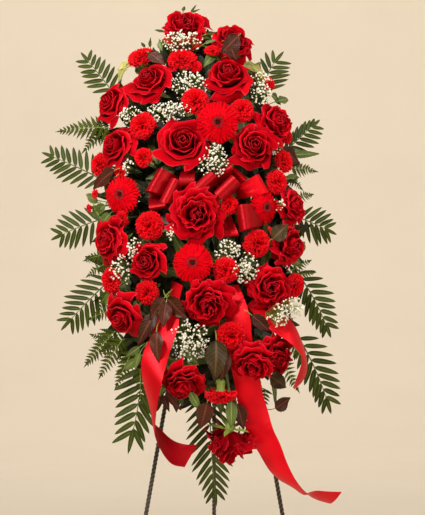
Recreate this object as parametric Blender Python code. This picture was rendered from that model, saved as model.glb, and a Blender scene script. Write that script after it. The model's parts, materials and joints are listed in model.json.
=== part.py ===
"""Standing funeral spray of red flowers on a folding wire easel.

Metres, +Z up, the front faces -Y. While it is built, the two front feet stand on the line y = 0
and the easel's front frame leans back from them. settle() then moves everything at once, so that
the bottom centre of the whole piece is the origin.

A point of the spray is given as (x, z, forward): across, up from the floor, and the level
distance in front of the leaning frame. Facings are (yaw, pitch) in degrees: yaw to the right of
straight ahead, pitch up.
"""

import math

import bmesh
import bpy
from mathutils import Vector

# ---------------------------------------------------------------- driving dimensions
LEAN = math.radians(11.5)          # the front frame leans back this much
GAP = 0.0004                       # clearance between touching solids

ROD_RADIUS = 0.0048                # twisted wire rope of the legs
BAR_RADIUS = 0.0035                # plain cross bars
FOOT_HALF_SPREAD = 0.2546          # front feet, from the middle
LEG_SPLAY = 0.175                  # sideways run of a front leg per metre of height
LEG_TOP_Z = 1.300
TOP_BAR_HALF = 0.046
HINGE_Z = 1.258                    # height of the hinge bar on the frame
HINGE_BAR_HALF = 0.048
SUPPORT_Z = 1.060                  # height of the bar that carries the tray
SUPPORT_OVERHANG = 0.012
REAR_FOOT_Y = 0.560                # where the rear leg's tip stands
SLEEVE_INNER = 0.0040
SLEEVE_OUTER = 0.0068
SLEEVE_HALF = 0.0120
LUG_HALF = 0.0080
LUG_THICKNESS = 0.0030
TIP_LENGTH = 0.030
TIP_RADIUS = 0.0078

TRAY_WIDTH = 0.128
TRAY_LENGTH = 0.448
TRAY_DEPTH = 0.022
TRAY_WALL = 0.003
FOAM_WIDTH = 0.118
FOAM_LENGTH = 0.438
FOAM_DEPTH = 0.080
FOAM_CENTRE = 1.215                # along the leaning frame, from the floor
TIE_WIDTH = 0.008
TIE_THICKNESS = 0.0012
TIE_PLACES = (1.224, 1.034)        # along the leaning frame

STEM_DEPTH = 0.030                 # how far a stem is pushed in the foam
HOLE_CLEARANCE = 0.0005
ROSE_STEM = 0.0030
GERBERA_STEM = 0.0028
CARNATION_STEM = 0.0024
PALM_STEM = 0.0026

# name: (x, z, forward), head radius, (yaw, pitch)
ROSES = {
    "rose_01": ((-0.062, 1.664, 0.140), 0.047, (0, 62)),
    "rose_02": ((0.038, 1.634, 0.148), 0.044, (25, 70)),
    "rose_03": ((-0.131, 1.541, 0.190), 0.047, (-20, 18)),
    "rose_04": ((0.031, 1.551, 0.196), 0.049, (10, -4)),
    "rose_05": ((-0.212, 1.500, 0.143), 0.041, (-50, 20)),
    "rose_06": ((-0.199, 1.408, 0.187), 0.039, (-50, 5)),
    "rose_07": ((-0.062, 1.408, 0.234), 0.051, (-5, 12)),
    "rose_08": ((0.080, 1.403, 0.216), 0.048, (12, 12)),
    "rose_09": ((0.122, 1.466, 0.172), 0.036, (45, 15)),
    "rose_10": ((-0.037, 1.264, 0.256), 0.060, (-2, 0)),
    "rose_11": ((-0.212, 1.214, 0.199), 0.042, (-50, 0)),
    "rose_12": ((-0.133, 1.169, 0.238), 0.041, (-15, -5)),
    "rose_13": ((0.160, 1.284, 0.165), 0.035, (55, 5)),
    "rose_14": ((0.151, 1.206, 0.183), 0.041, (50, -5)),
    "rose_15": ((-0.014, 1.087, 0.243), 0.053, (3, -20)),
    "rose_16": ((0.111, 1.116, 0.207), 0.043, (12, 0)),
    "rose_17": ((-0.182, 1.062, 0.207), 0.042, (-40, -25)),
    "rose_18": ((0.068, 0.968, 0.208), 0.038, (6, -45)),
    "rose_19": ((0.134, 0.982, 0.168), 0.036, (38, -38)),
    "rose_20": ((-0.064, 0.922, 0.210), 0.040, (-8, -55)),
    "rose_21": ((0.032, 0.796, 0.154), 0.046, (5, -72)),
}

GERBERAS = {
    "gerbera_01": ((0.007, 1.453, 0.256), 0.042, (3, 10)),
    "gerbera_02": ((-0.190, 1.306, 0.212), 0.038, (-25, 3)),
    "gerbera_03": ((0.103, 1.280, 0.215), 0.036, (43, 0)),
    "gerbera_04": ((-0.043, 1.167, 0.262), 0.039, (-3, -8)),
}

# one branching stem each: heads of (x, z, forward), radius, (yaw, pitch)
CARNATION_SPRAYS = {
    "carnation_spray_a": (
        ((-0.154, 1.604, 0.148), 0.028, (-30, 35)),
        ((-0.067, 1.596, 0.182), 0.028, (-8, 35)),
        ((-0.040, 1.500, 0.222), 0.027, (-5, 15)),
    ),
    "carnation_spray_b": (
        ((0.058, 1.482, 0.206), 0.024, (12, 15)),
        ((0.146, 1.378, 0.172), 0.023, (50, 12)),
        ((0.130, 1.333, 0.192), 0.024, (40, 5)),
    ),
    "carnation_spray_c": (
        ((-0.149, 1.450, 0.209), 0.027, (-25, 12)),
        ((-0.146, 1.383, 0.221), 0.019, (-25, 5)),
        ((-0.240, 1.372, 0.153), 0.023, (-55, 8)),
    ),
    "carnation_spray_d": (
        ((-0.132, 1.242, 0.240), 0.028, (-22, 0)),
        ((-0.211, 1.130, 0.197), 0.025, (-50, -10)),
        ((-0.136, 1.106, 0.231), 0.024, (-25, -12)),
    ),
    "carnation_spray_e": (
        ((0.088, 1.207, 0.226), 0.027, (25, -3)),
        ((0.024, 1.152, 0.244), 0.025, (5, -8)),
        ((0.167, 1.120, 0.157), 0.024, (50, -10)),
    ),
    "carnation_spray_f": (
        ((0.034, 1.019, 0.228), 0.028, (5, -20)),
        ((0.014, 0.893, 0.204), 0.029, (3, -50)),
    ),
}

# base and tip of the leafy part, (x, z, forward) each; widest leaflet; pairs of leaflets;
# how far the middle of the frond stands forward of the straight line
PALMS = {
    "palm_01": ((-0.216, 1.534, 0.080), (-0.277, 1.608, 0.060), 0.036, 6, 0.003),
    "palm_02": ((-0.235, 1.350, 0.105), (-0.368, 1.395, 0.085), 0.040, 8, 0.008),
    "palm_03": ((-0.236, 1.251, 0.110), (-0.354, 1.219, 0.090), 0.045, 8, 0.008),
    "palm_04": ((-0.214, 1.128, 0.110), (-0.320, 1.030, 0.085), 0.046, 9, 0.010),
    "palm_05": ((-0.160, 1.000, 0.105), (-0.166, 0.775, 0.110), 0.046, 10, 0.014),
    "palm_06": ((0.004, 0.890, 0.095), (0.004, 0.660, 0.070), 0.052, 11, 0.010),
    "palm_07": ((0.102, 1.560, 0.095), (0.152, 1.630, 0.070), 0.040, 6, 0.004),
    "palm_08": ((0.150, 1.412, 0.095), (0.219, 1.480, 0.070), 0.040, 7, 0.005),
    "palm_09": ((0.178, 1.252, 0.095), (0.251, 1.231, 0.085), 0.040, 7, 0.005),
    "palm_10": ((0.174, 1.130, 0.095), (0.246, 1.012, 0.085), 0.046, 9, 0.008),
    "palm_11": ((0.165, 1.005, 0.085), (0.249, 0.860, 0.075), 0.044, 9, 0.008),
}

# ribbon centre lines, (x, z, forward) then half width and roll in degrees at each point
RIBBONS = {
    "ribbon_tail_left": (
        ((-0.086, 1.112, 0.205), 0.016, 0),
        ((-0.098, 1.068, 0.222), 0.020, 0),
        ((-0.114, 1.010, 0.240), 0.025, -8),
        ((-0.124, 0.950, 0.236), 0.023, -10),
        ((-0.122, 0.895, 0.222), 0.014, 10),
        ((-0.109, 0.848, 0.212), 0.016, 40),
        ((-0.084, 0.814, 0.206), 0.024, 25),
        ((-0.050, 0.783, 0.200), 0.026, 15),
    ),
    "ribbon_tail_long": (
        ((0.053, 1.088, 0.226), 0.009, 0),
        ((0.057, 1.052, 0.214), 0.008, 0),
        ((0.048, 1.018, 0.192), 0.007, 0),
        ((0.042, 0.988, 0.168), 0.008, 0),
        ((0.050, 0.955, 0.150), 0.015, 0),
        ((0.065, 0.922, 0.158), 0.025, 4),
        ((0.084, 0.875, 0.176), 0.028, 8),
        ((0.112, 0.798, 0.182), 0.024, 10),
        ((0.150, 0.735, 0.176), 0.014, 30),
        ((0.186, 0.706, 0.172), 0.010, 60),
        ((0.228, 0.693, 0.165), 0.018, 10),
    ),
    "ribbon_tail_short": (
        ((0.076, 1.070, 0.238), 0.012, 0),
        ((0.116, 1.050, 0.236), 0.014, 0),
        ((0.154, 1.024, 0.230), 0.016, 10),
        ((0.180, 0.988, 0.216), 0.014, 20),
        ((0.184, 0.952, 0.204), 0.011, 20),
        ((0.166, 0.918, 0.196), 0.008, 20),
    ),
}

# bow: knot centre, then loops of (x, z, forward) turning point, half width at the turn
KNOT = (-0.022, 1.338, 0.170)
LOOPS = (
    ((-0.112, 1.322, 0.214), 0.018),
    ((-0.098, 1.352, 0.200), 0.012),
    ((0.030, 1.338, 0.222), 0.014),
    ((0.088, 1.326, 0.212), 0.013),
    ((0.050, 1.238, 0.226), 0.010),
)


# ---------------------------------------------------------------- places and frames
ALONG = Vector((0, math.sin(LEAN), math.cos(LEAN)))      # up the leaning frame
FRONT = Vector((0, -math.cos(LEAN), math.sin(LEAN)))     # square out of it, to the front
ACROSS = Vector((1, 0, 0))


def spray_point(place):
    """World point of an (x, z, forward) place."""
    x, z, forward = place
    return Vector((x, z * math.tan(LEAN) - forward, z))


def frame_point(x, along, out):
    """World point from coordinates square to the leaning frame."""
    return ACROSS * x + ALONG * along + FRONT * out


def to_frame(point):
    """Coordinates of a world point square to the leaning frame."""
    return Vector((point.x, point.dot(ALONG), point.dot(FRONT)))


def facing_vector(facing):
    """Unit vector of a (yaw, pitch) facing in degrees."""
    yaw, pitch = (math.radians(angle) for angle in facing)
    return Vector((
        math.sin(yaw) * math.cos(pitch),
        -math.cos(yaw) * math.cos(pitch),
        math.sin(pitch),
    ))


def level_side(direction):
    """A level vector square to a direction, to the right when it faces front."""
    side = Vector((0, 0, 1)).cross(direction)
    if side.length < 1e-6:
        side = Vector((1, 0, 0))
    return side.normalized()


def carried_frames(path, last_side):
    """Tangent, side and third axis at each point, carried back from the path's end."""
    count = len(path)
    frames = [None] * count
    side = last_side
    for i in reversed(range(count)):
        tangent = (path[min(i + 1, count - 1)] - path[max(i - 1, 0)]).normalized()
        side = (side - tangent * side.dot(tangent)).normalized()
        frames[i] = (tangent, side, tangent.cross(side))
    return frames


# ---------------------------------------------------------------- mesh helpers
def clear_scene():
    """Start from nothing."""
    for existing in list(bpy.data.objects):
        bpy.data.objects.remove(existing, do_unlink=True)


def material(name, colour, roughness, metallic=0.0):
    """A plain Principled material."""
    made = bpy.data.materials.new(name)
    made.use_nodes = True
    shader = made.node_tree.nodes["Principled BSDF"]
    shader.inputs["Base Color"].default_value = (*colour, 1.0)
    shader.inputs["Roughness"].default_value = roughness
    shader.inputs["Metallic"].default_value = metallic
    return made


def ring(centre, side, third, radius, sides, wave=0.0, lift=None):
    """Points round a centre; wave makes every other point stand further out."""
    points = []
    for k in range(sides):
        turn = 2 * math.pi * k / sides
        sign = 1 if k % 2 else -1
        reach = radius * (1 + sign * wave)
        point = centre + side * (reach * math.cos(turn)) + third * (reach * math.sin(turn))
        if lift is not None:
            point = point + lift * sign
        points.append(point)
    return points


def add_loft(bm, rings, pole=None):
    """Closed skin through rings of equal count, capped flat, or ended on a single point."""
    rows = [[bm.verts.new(point) for point in points] for points in rings]
    sides = len(rows[0])
    bm.faces.new(rows[0])
    for lower, upper in zip(rows, rows[1:]):
        for k in range(sides):
            after = (k + 1) % sides
            bm.faces.new((lower[k], lower[after], upper[after], upper[k]))
    if pole is None:
        bm.faces.new(rows[-1])
    else:
        tip = bm.verts.new(pole)
        for k in range(sides):
            bm.faces.new((rows[-1][k], rows[-1][(k + 1) % sides], tip))


def finish_object(name, bm, coat):
    """Turn a bmesh into a named object with its own material."""
    bmesh.ops.recalc_face_normals(bm, faces=bm.faces[:])
    bmesh.ops.triangulate(bm, faces=bm.faces[:])
    mesh = bpy.data.meshes.new(name)
    bm.to_mesh(mesh)
    bm.free()
    mesh.materials.append(coat)
    made = bpy.data.objects.new(name, mesh)
    bpy.context.scene.collection.objects.link(made)
    return made


def loft_object(name, rings, coat, pole=None):
    """One loft as an object."""
    bm = bmesh.new()
    add_loft(bm, rings, pole)
    return finish_object(name, bm, coat)


def rod(name, start, end, radius, coat, sides=10):
    """A straight round bar with flat ends."""
    tangent = (end - start).normalized()
    side = level_side(tangent)
    third = tangent.cross(side)
    rings = [ring(point, side, third, radius, sides) for point in (start, end)]
    return loft_object(name, rings, coat)


def combine(target, others, operation):
    """Apply an exact Boolean of each other object to the target and remove the others."""
    for other in others:
        modifier = target.modifiers.new("combine", "BOOLEAN")
        modifier.operation = operation
        modifier.solver = "EXACT"
        modifier.object = other
        evaluated = target.evaluated_get(bpy.context.evaluated_depsgraph_get())
        mesh = bpy.data.meshes.new_from_object(evaluated)
        target.modifiers.clear()
        old = target.data
        target.data = mesh
        bpy.data.meshes.remove(old)
        bpy.data.objects.remove(other, do_unlink=True)
    return target


# ---------------------------------------------------------------- stems in the foam
FOAM_BACK = ROD_RADIUS + GAP + TRAY_WALL + GAP
FOAM_LOW = Vector((-FOAM_WIDTH / 2, FOAM_CENTRE - FOAM_LENGTH / 2, FOAM_BACK))
FOAM_HIGH = Vector((FOAM_WIDTH / 2, FOAM_CENTRE + FOAM_LENGTH / 2, FOAM_BACK + FOAM_DEPTH))

stem_holes = []


def foam_entry(outside, aim):
    """Where the line from an outside point to a point in the foam meets the foam's skin."""
    start = to_frame(outside)
    run = to_frame(aim) - start
    share = 0.0
    for axis in range(3):
        if abs(run[axis]) < 1e-9:
            continue
        near = FOAM_LOW[axis] if run[axis] > 0 else FOAM_HIGH[axis]
        share = max(share, (near - start[axis]) / run[axis])
    return outside + (aim - outside) * share


def aim_in_foam(head, depth_share):
    """The point in the foam that a head's stem heads for: its own place drawn in."""
    local = to_frame(head)
    return frame_point(
        local.x * 0.20,
        FOAM_CENTRE + (local.y - FOAM_CENTRE) * 0.42,
        FOAM_BACK + FOAM_DEPTH * depth_share,
    )


def stem_path(base, facing, radius, depth_share=None, neck=0.30, steps=3):
    """Points of a stem from its cut end in the foam to the back of its head.

    It is straight in the foam and bends on one quadratic curve between foam and head. The
    further forward the head, the nearer the stem goes in to the front of the foam.
    """
    if depth_share is None:
        depth_share = min(0.80, max(0.34, (to_frame(base).z - 0.08) / 0.13))
    aim = aim_in_foam(base, depth_share)
    elbow = base - facing * ((base - aim).length * neck)
    entry = foam_entry(elbow, aim)
    inward = (aim - elbow).normalized()
    cut_end = entry + inward * STEM_DEPTH
    mouth = entry - inward * 0.012
    stem_holes.append((cut_end + inward * 0.001, entry - inward * 0.012, radius))
    path = [cut_end, mouth]
    for step in range(1, steps + 1):
        t = step / steps
        path.append(mouth * (1 - t) ** 2 + elbow * (2 * t * (1 - t)) + base * t ** 2)
    return path


def stem_rings(path, facing, radius, sides):
    """Rings along a stem, lined up with the rings of the head that ends it."""
    return [
        ring(point, side, third, radius, sides)
        for point, (_, side, third) in zip(path, carried_frames(path, level_side(facing)))
    ]


def head_rings(centre, facing, radius, profile, sides):
    """Rings of a head from (height, reach, wave, lift) rows in units of its radius."""
    side = level_side(facing)
    third = facing.cross(side)
    return [
        ring(centre + facing * (height * radius), side, third, reach * radius, sides, wave,
             facing * (lift * radius))
        for height, reach, wave, lift in profile
    ]


# ---------------------------------------------------------------- flowers
ROSE_PROFILE = (
    (-0.84, 0.20, 0.00, 0.00),     # calyx
    (-0.62, 0.58, 0.02, 0.00),     # cup of the outer petals
    (-0.18, 0.90, 0.04, 0.00),
    (0.04, 0.96, 0.05, 0.03),      # outer petals, rolled over
    (0.06, 0.78, -0.04, 0.00),
    (0.30, 0.66, -0.06, 0.03),     # second row
    (0.20, 0.48, 0.05, 0.00),
    (0.44, 0.38, 0.06, 0.02),      # third row
    (0.32, 0.24, -0.04, 0.00),
    (0.50, 0.15, 0.00, 0.00),      # bud
)
ROSE_POLE = 0.42
ROSE_SIDES = 10

CARNATION_PROFILE = (
    (-1.10, 0.20, 0.00, 0.00),     # foot of the calyx
    (-0.95, 0.30, 0.00, 0.00),
    (-0.45, 0.30, 0.00, 0.00),     # its mouth
    (-0.12, 0.84, 0.06, 0.00),     # fringed petals
    (0.08, 0.93, 0.07, 0.04),
    (0.30, 0.66, -0.10, 0.05),
)
CARNATION_POLE = 0.42
CARNATION_SIDES = 10

GERBERA_PROFILE = (
    (-0.34, 0.16, 0.00, 0.00),     # green cup behind the petals
    (-0.16, 0.40, 0.00, 0.00),
    (-0.06, 0.93, 0.07, 0.00),     # petal tips
    (0.00, 0.93, 0.07, 0.00),
    (0.04, 0.40, 0.02, 0.00),      # ring round the eye
    (0.12, 0.26, 0.00, 0.00),
)
GERBERA_POLE = 0.14
GERBERA_SIDES = 18


def make_rose(name, place, radius, facing, coat):
    """Rose head, calyx and stem in one skin."""
    centre = spray_point(place)
    ahead = facing_vector(facing)
    base = centre - ahead * radius
    path = stem_path(base, ahead, ROSE_STEM)
    rings = stem_rings(path, ahead, ROSE_STEM, ROSE_SIDES)
    rings += head_rings(centre, ahead, radius, ROSE_PROFILE, ROSE_SIDES)
    return loft_object(name, rings, coat, centre + ahead * (ROSE_POLE * radius))


def make_gerbera(name, place, radius, facing, coat):
    """Gerbera disc and its bare stem in one skin."""
    centre = spray_point(place)
    ahead = facing_vector(facing)
    base = centre - ahead * (0.5 * radius)
    path = stem_path(base, ahead, GERBERA_STEM, neck=0.45)
    rings = stem_rings(path, ahead, GERBERA_STEM, GERBERA_SIDES)
    rings += head_rings(centre, ahead, radius, GERBERA_PROFILE, GERBERA_SIDES)
    return loft_object(name, rings, coat, centre + ahead * (GERBERA_POLE * radius))


def make_carnation_spray(name, heads, coat):
    """Several carnation heads on one branching stem, joined to one body."""
    placed = []
    for place, radius, facing in heads:
        centre = spray_point(place)
        ahead = facing_vector(facing)
        placed.append((centre, centre - ahead * (1.2 * radius), ahead, radius))
    middle = sum((base for _, base, _, _ in placed), Vector()) / len(placed)
    lead = min(placed, key=lambda item: (item[1] - middle).length)
    path = stem_path(lead[1], lead[2], CARNATION_STEM)
    fork = path[1].lerp(path[2], 0.5)
    bodies = []
    for item in placed:
        centre, base, ahead, radius = item
        stem = CARNATION_STEM
        route = path
        if item is not lead:
            stem = CARNATION_STEM * 0.8
            elbow = base - ahead * ((base - fork).length * 0.30)
            route = [
                fork * (1 - t) ** 2 + elbow * (2 * t * (1 - t)) + base * t ** 2
                for t in (0.0, 0.35, 0.7, 1.0)
            ]
        rings = stem_rings(route, ahead, stem, CARNATION_SIDES)
        rings += head_rings(centre, ahead, radius, CARNATION_PROFILE, CARNATION_SIDES)
        bodies.append(
            loft_object(name + "_part", rings, coat, centre + ahead * (CARNATION_POLE * radius))
        )
    joined = combine(bodies[0], bodies[1:], "UNION")
    joined.name = name
    joined.data.name = name
    return joined


# ---------------------------------------------------------------- palm fronds
def make_palm(name, base, tip, widest, pairs, bow_out, coat):
    """A frond: a stem from the foam, then a thin blade cut into pointed leaflets."""
    start = spray_point(base)
    end = spray_point(tip)
    run = (end - start).normalized()
    path = stem_path(start, run, PALM_STEM, depth_share=0.25, neck=0.25)
    half = PALM_STEM * 0.6
    sweep = path[-1] - path[-2]
    bulge = FRONT * bow_out
    stations = list(path)
    for step in range(1, pairs + 1):
        t = step / pairs
        stations.append(start.lerp(end, t) + bulge * (4 * t * (1 - t)))
    blade_first = len(path) - 1
    blade_side = run.cross(FRONT).normalized()
    frames = carried_frames(stations, blade_side)
    bm = bmesh.new()
    rows = []
    for i, (point, (_, side, third)) in enumerate(zip(stations, frames)):
        leafy = i >= blade_first
        reach = half * (1.0 if not leafy else 1.0 - 0.5 * (i - blade_first) / pairs)
        thick = half if not leafy else 0.0009
        rows.append([
            bm.verts.new(point + side * (u * reach) + third * (v * thick))
            for u, v in ((-1, -1), (1, -1), (1, 1), (-1, 1))
        ])
    bm.faces.new(rows[0])
    bm.faces.new(rows[-1])
    for i in range(len(rows) - 1):
        lower, upper = rows[i], rows[i + 1]
        bm.faces.new((lower[0], lower[1], upper[1], upper[0]))
        bm.faces.new((lower[3], lower[2], upper[2], upper[3]))
        if i < blade_first:
            bm.faces.new((lower[1], lower[2], upper[2], upper[1]))
            bm.faces.new((lower[0], lower[3], upper[3], upper[0]))
            continue
        share = (i - blade_first + 0.5) / pairs
        length = widest * math.sin(math.pi * min(0.92, 0.22 + 0.62 * share))
        point = stations[i].lerp(stations[i + 1], 0.5)
        tangent, side, third = frames[i]
        for sign, low, high in ((-1, 0, 3), (1, 1, 2)):
            reach = side * (sign * length) + tangent * (length * 0.62) - third * (0.12 * length)
            under = bm.verts.new(point + reach - third * 0.0004)
            over = bm.verts.new(point + reach + third * 0.0004)
            bm.faces.new((lower[low], upper[low], under))
            bm.faces.new((lower[high], upper[high], over))
            bm.faces.new((lower[low], under, over, lower[high]))
            bm.faces.new((upper[low], under, over, upper[high]))
    return finish_object(name, bm, coat)


# ---------------------------------------------------------------- ribbon
def smooth_route(knots, steps):
    """Points on a Catmull-Rom curve through rows of numbers."""
    rows = [knots[0]] + list(knots) + [knots[-1]]
    route = []
    for i in range(1, len(rows) - 2):
        for step in range(steps):
            t = step / steps
            values = []
            for a, b, c, d in zip(*rows[i - 1:i + 3]):
                values.append(0.5 * (
                    2 * b + (c - a) * t + (2 * a - 5 * b + 4 * c - d) * t ** 2
                    + (3 * b - 3 * c + d - a) * t ** 3
                ))
            route.append(values)
    route.append(list(knots[-1]))
    return route


def strip_rings(stations, thickness):
    """Four-cornered rings from (point, side, half width) stations of a thin strip."""
    rings = []
    for i, (point, side, reach) in enumerate(stations):
        after = stations[min(i + 1, len(stations) - 1)][0]
        before = stations[max(i - 1, 0)][0]
        tangent = (after - before).normalized()
        side = (side - tangent * side.dot(tangent)).normalized()
        third = tangent.cross(side)
        rings.append([
            point + side * (u * reach) + third * (v * thickness / 2)
            for u, v in ((-1, -1), (1, -1), (1, 1), (-1, 1))
        ])
    return rings


def make_ribbon_tail(name, knots, coat):
    """A hanging strip of satin ribbon."""
    rows = [(*spray_point(place), half, roll) for place, half, roll in knots]
    stations = []
    for x, y, z, half, roll in smooth_route(rows, 3):
        turn = math.radians(roll)
        side = Vector((math.cos(turn), 0.25 * math.sin(turn), math.sin(turn)))
        stations.append((Vector((x, y, z)), side, half))
    return loft_object(name, strip_rings(stations, 0.0010), coat)


def make_bow(coat):
    """Ribbon loops round a gathered knot, joined to one body."""
    centre = spray_point(KNOT)
    knot_rings = [
        ring(centre + FRONT * (height * 0.013), ACROSS, ALONG, reach * 0.016, 12)
        for height, reach in ((-0.95, 0.35), (-0.5, 0.87), (0.0, 1.0), (0.5, 0.87), (0.95, 0.35))
    ]
    bodies = []
    for place, half in LOOPS:
        turn = spray_point(place)
        out = turn - centre
        away = out.normalized()
        flat = (FRONT - away * FRONT.dot(away)).normalized()
        side = away.cross(flat).normalized()
        stations = []
        for share, swing, width in (
            (0.02, -0.25, 0.35), (0.30, -0.62, 0.55), (0.62, -1.00, 0.90), (0.88, -0.86, 1.00),
            (1.00, 0.00, 1.00),
            (0.88, 0.86, 1.00), (0.62, 1.00, 0.90), (0.30, 0.62, 0.55), (0.02, 0.25, 0.35),
        ):
            point = centre + out * share + flat * (swing * 0.016)
            stations.append((point, side, half * width))
        bodies.append(loft_object("loop_part", strip_rings(stations, 0.0010), coat))
    made = loft_object("bow", knot_rings, coat)
    return combine(made, bodies, "UNION")


# ---------------------------------------------------------------- foam, tray and ties
def box_corners(low, high):
    """Two rectangles of corners, at the back and the front of a box square to the frame."""
    return [
        [frame_point(x, along, out) for x, along in (
            (low.x, low.y), (high.x, low.y), (high.x, high.y), (low.x, high.y))]
        for out in (low.z, high.z)
    ]


def make_tray(coat):
    """Shallow plastic tray, open to the front."""
    back = ROD_RADIUS + GAP
    outer_low = Vector((-TRAY_WIDTH / 2, FOAM_CENTRE - TRAY_LENGTH / 2, back))
    outer_high = Vector((TRAY_WIDTH / 2, FOAM_CENTRE + TRAY_LENGTH / 2, back + TRAY_DEPTH))
    wall = Vector((TRAY_WALL, TRAY_WALL, TRAY_WALL))
    outer = box_corners(outer_low, outer_high)
    inner = box_corners(outer_low + wall, outer_high - Vector((TRAY_WALL, TRAY_WALL, 0)))
    return loft_object("foam_tray", [outer[0], outer[1], inner[1], inner[0]], coat)


def make_foam(coat):
    """Wet foam block with a drilled hole for every stem."""
    bm = bmesh.new()
    add_loft(bm, box_corners(FOAM_LOW, FOAM_HIGH))
    block = finish_object("foam_block", bm, coat)
    drills = []
    for inner_end, outer_end, radius in stem_holes:
        reach = (radius + HOLE_CLEARANCE) / math.cos(math.pi / 6)
        drills.append(rod("drill", inner_end, outer_end, reach, coat, sides=6))
    return combine(block, drills, "DIFFERENCE")


def make_tie(name, along, coat):
    """Flat tie round the foam, the tray and both front legs."""
    leg_x = FOOT_HALF_SPREAD - LEG_SPLAY * along * math.cos(LEAN)
    half = max(TRAY_WIDTH / 2, leg_x + ROD_RADIUS) + GAP + 0.0012
    back = -(ROD_RADIUS + GAP)
    front = FOAM_BACK + FOAM_DEPTH + GAP
    thick = TIE_THICKNESS
    rings = []
    for offset, level in ((thick, -1), (thick, 1), (0.0, 1), (0.0, -1)):
        height = along + level * TIE_WIDTH / 2
        rings.append([
            frame_point(x, height, out) for x, out in (
                (-half - offset, back - offset), (half + offset, back - offset),
                (half + offset, front + offset), (-half - offset, front + offset))
        ])
    bm = bmesh.new()
    rows = [[bm.verts.new(point) for point in points] for points in rings]
    for i, lower in enumerate(rows):
        upper = rows[(i + 1) % len(rows)]
        for k in range(4):
            after = (k + 1) % 4
            bm.faces.new((lower[k], lower[after], upper[after], upper[k]))
    return finish_object(name, bm, coat)


# ---------------------------------------------------------------- easel
def leg_point(sign, height):
    """A point on a front leg's centre line."""
    return Vector((
        sign * (FOOT_HALF_SPREAD - LEG_SPLAY * height),
        height * math.tan(LEAN),
        height,
    ))


def make_tip(name, foot, direction, coat):
    """Vinyl tip: a blind bore for the leg and a flat bottom on the floor."""
    side = level_side(direction)
    third = direction.cross(side)
    flat = []
    for point in ring(foot, side, third, TIP_RADIUS, 16):
        flat.append(point - direction * (point.z / direction.z))
    bore = ROD_RADIUS + GAP
    rings = [
        flat,
        ring(foot + direction * (TIP_LENGTH - 0.002), side, third, TIP_RADIUS, 16),
        ring(foot + direction * TIP_LENGTH, side, third, TIP_RADIUS - 0.001, 16),
        ring(foot + direction * TIP_LENGTH, side, third, bore, 16),
        ring(foot + direction * (TIP_LENGTH * 0.3), side, third, bore, 16),
    ]
    return loft_object(name, rings, coat)


def make_easel(wire, bar, vinyl):
    """Front frame, hinged rear leg and the three tips."""
    for label, sign in (("left", -1), ("right", 1)):
        foot = leg_point(sign, 0.0)
        direction = (leg_point(sign, 1.0) - foot).normalized()
        start = foot + direction * (TIP_LENGTH * 0.3 + GAP)
        rod("front_leg_" + label, start, leg_point(sign, LEG_TOP_Z), ROD_RADIUS, wire)
        make_tip("foot_front_" + label, foot, direction, vinyl)

    top = leg_point(1, LEG_TOP_Z)
    top_along = to_frame(top).y + ROD_RADIUS + ROD_RADIUS * 0.25 + GAP
    rod("top_bar", frame_point(-TOP_BAR_HALF, top_along, 0),
        frame_point(TOP_BAR_HALF, top_along, 0), ROD_RADIUS, bar, sides=12)

    behind = -(ROD_RADIUS + GAP + BAR_RADIUS)
    hinge_along = HINGE_Z / math.cos(LEAN)
    rod("hinge_bar", frame_point(-HINGE_BAR_HALF, hinge_along, behind),
        frame_point(HINGE_BAR_HALF, hinge_along, behind), BAR_RADIUS, bar, sides=12)

    support_along = SUPPORT_Z / math.cos(LEAN)
    reach = FOOT_HALF_SPREAD - LEG_SPLAY * SUPPORT_Z + SUPPORT_OVERHANG
    rod("support_bar", frame_point(-reach, support_along, behind),
        frame_point(reach, support_along, behind), BAR_RADIUS, bar, sides=12)

    axis = frame_point(0, hinge_along, behind)
    rear_foot = Vector((0, REAR_FOOT_Y, 0))
    direction = (axis - rear_foot).normalized()
    start = rear_foot + direction * (TIP_LENGTH * 0.3 + GAP)
    rod("rear_leg", start, axis - direction * (SLEEVE_OUTER + GAP), ROD_RADIUS, wire)
    make_tip("foot_rear", rear_foot, direction, vinyl)
    make_sleeve(axis, top_along, bar)


def make_sleeve(axis, top_along, coat):
    """Sleeve round the hinge bar, with the lug that stops against the top bar."""
    rings = []
    for offset, radius in (
        (-SLEEVE_HALF, SLEEVE_INNER), (-SLEEVE_HALF, SLEEVE_OUTER),
        (SLEEVE_HALF, SLEEVE_OUTER), (SLEEVE_HALF, SLEEVE_INNER),
    ):
        rings.append(ring(axis + ACROSS * offset, ALONG, FRONT, radius, 20))
    bm = bmesh.new()
    rows = [[bm.verts.new(point) for point in points] for points in rings]
    for i, lower in enumerate(rows):
        upper = rows[(i + 1) % len(rows)]
        for k in range(20):
            after = (k + 1) % 20
            bm.faces.new((lower[k], lower[after], upper[after], upper[k]))
    sleeve = finish_object("hinge_sleeve", bm, coat)

    local = to_frame(axis)
    front = -(ROD_RADIUS + GAP)
    low = Vector((-LUG_HALF, local.y + SLEEVE_INNER + 0.0012, front - LUG_THICKNESS))
    high = Vector((LUG_HALF, top_along + ROD_RADIUS + 0.002, front))
    bm = bmesh.new()
    add_loft(bm, box_corners(low, high))
    lug = finish_object("lug_part", bm, coat)
    return combine(sleeve, [lug], "UNION")


# ---------------------------------------------------------------- whole piece
def settle():
    """Move everything so that the bottom centre of the whole box is the origin."""
    low = Vector((1e9, 1e9, 1e9))
    high = -low
    made = [item for item in bpy.data.objects if item.type == "MESH"]
    for item in made:
        for vertex in item.data.vertices:
            for axis in range(3):
                low[axis] = min(low[axis], vertex.co[axis])
                high[axis] = max(high[axis], vertex.co[axis])
    shift = Vector((-(low.x + high.x) / 2, -(low.y + high.y) / 2, -low.z))
    for item in made:
        for vertex in item.data.vertices:
            vertex.co += shift
    return shift


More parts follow.
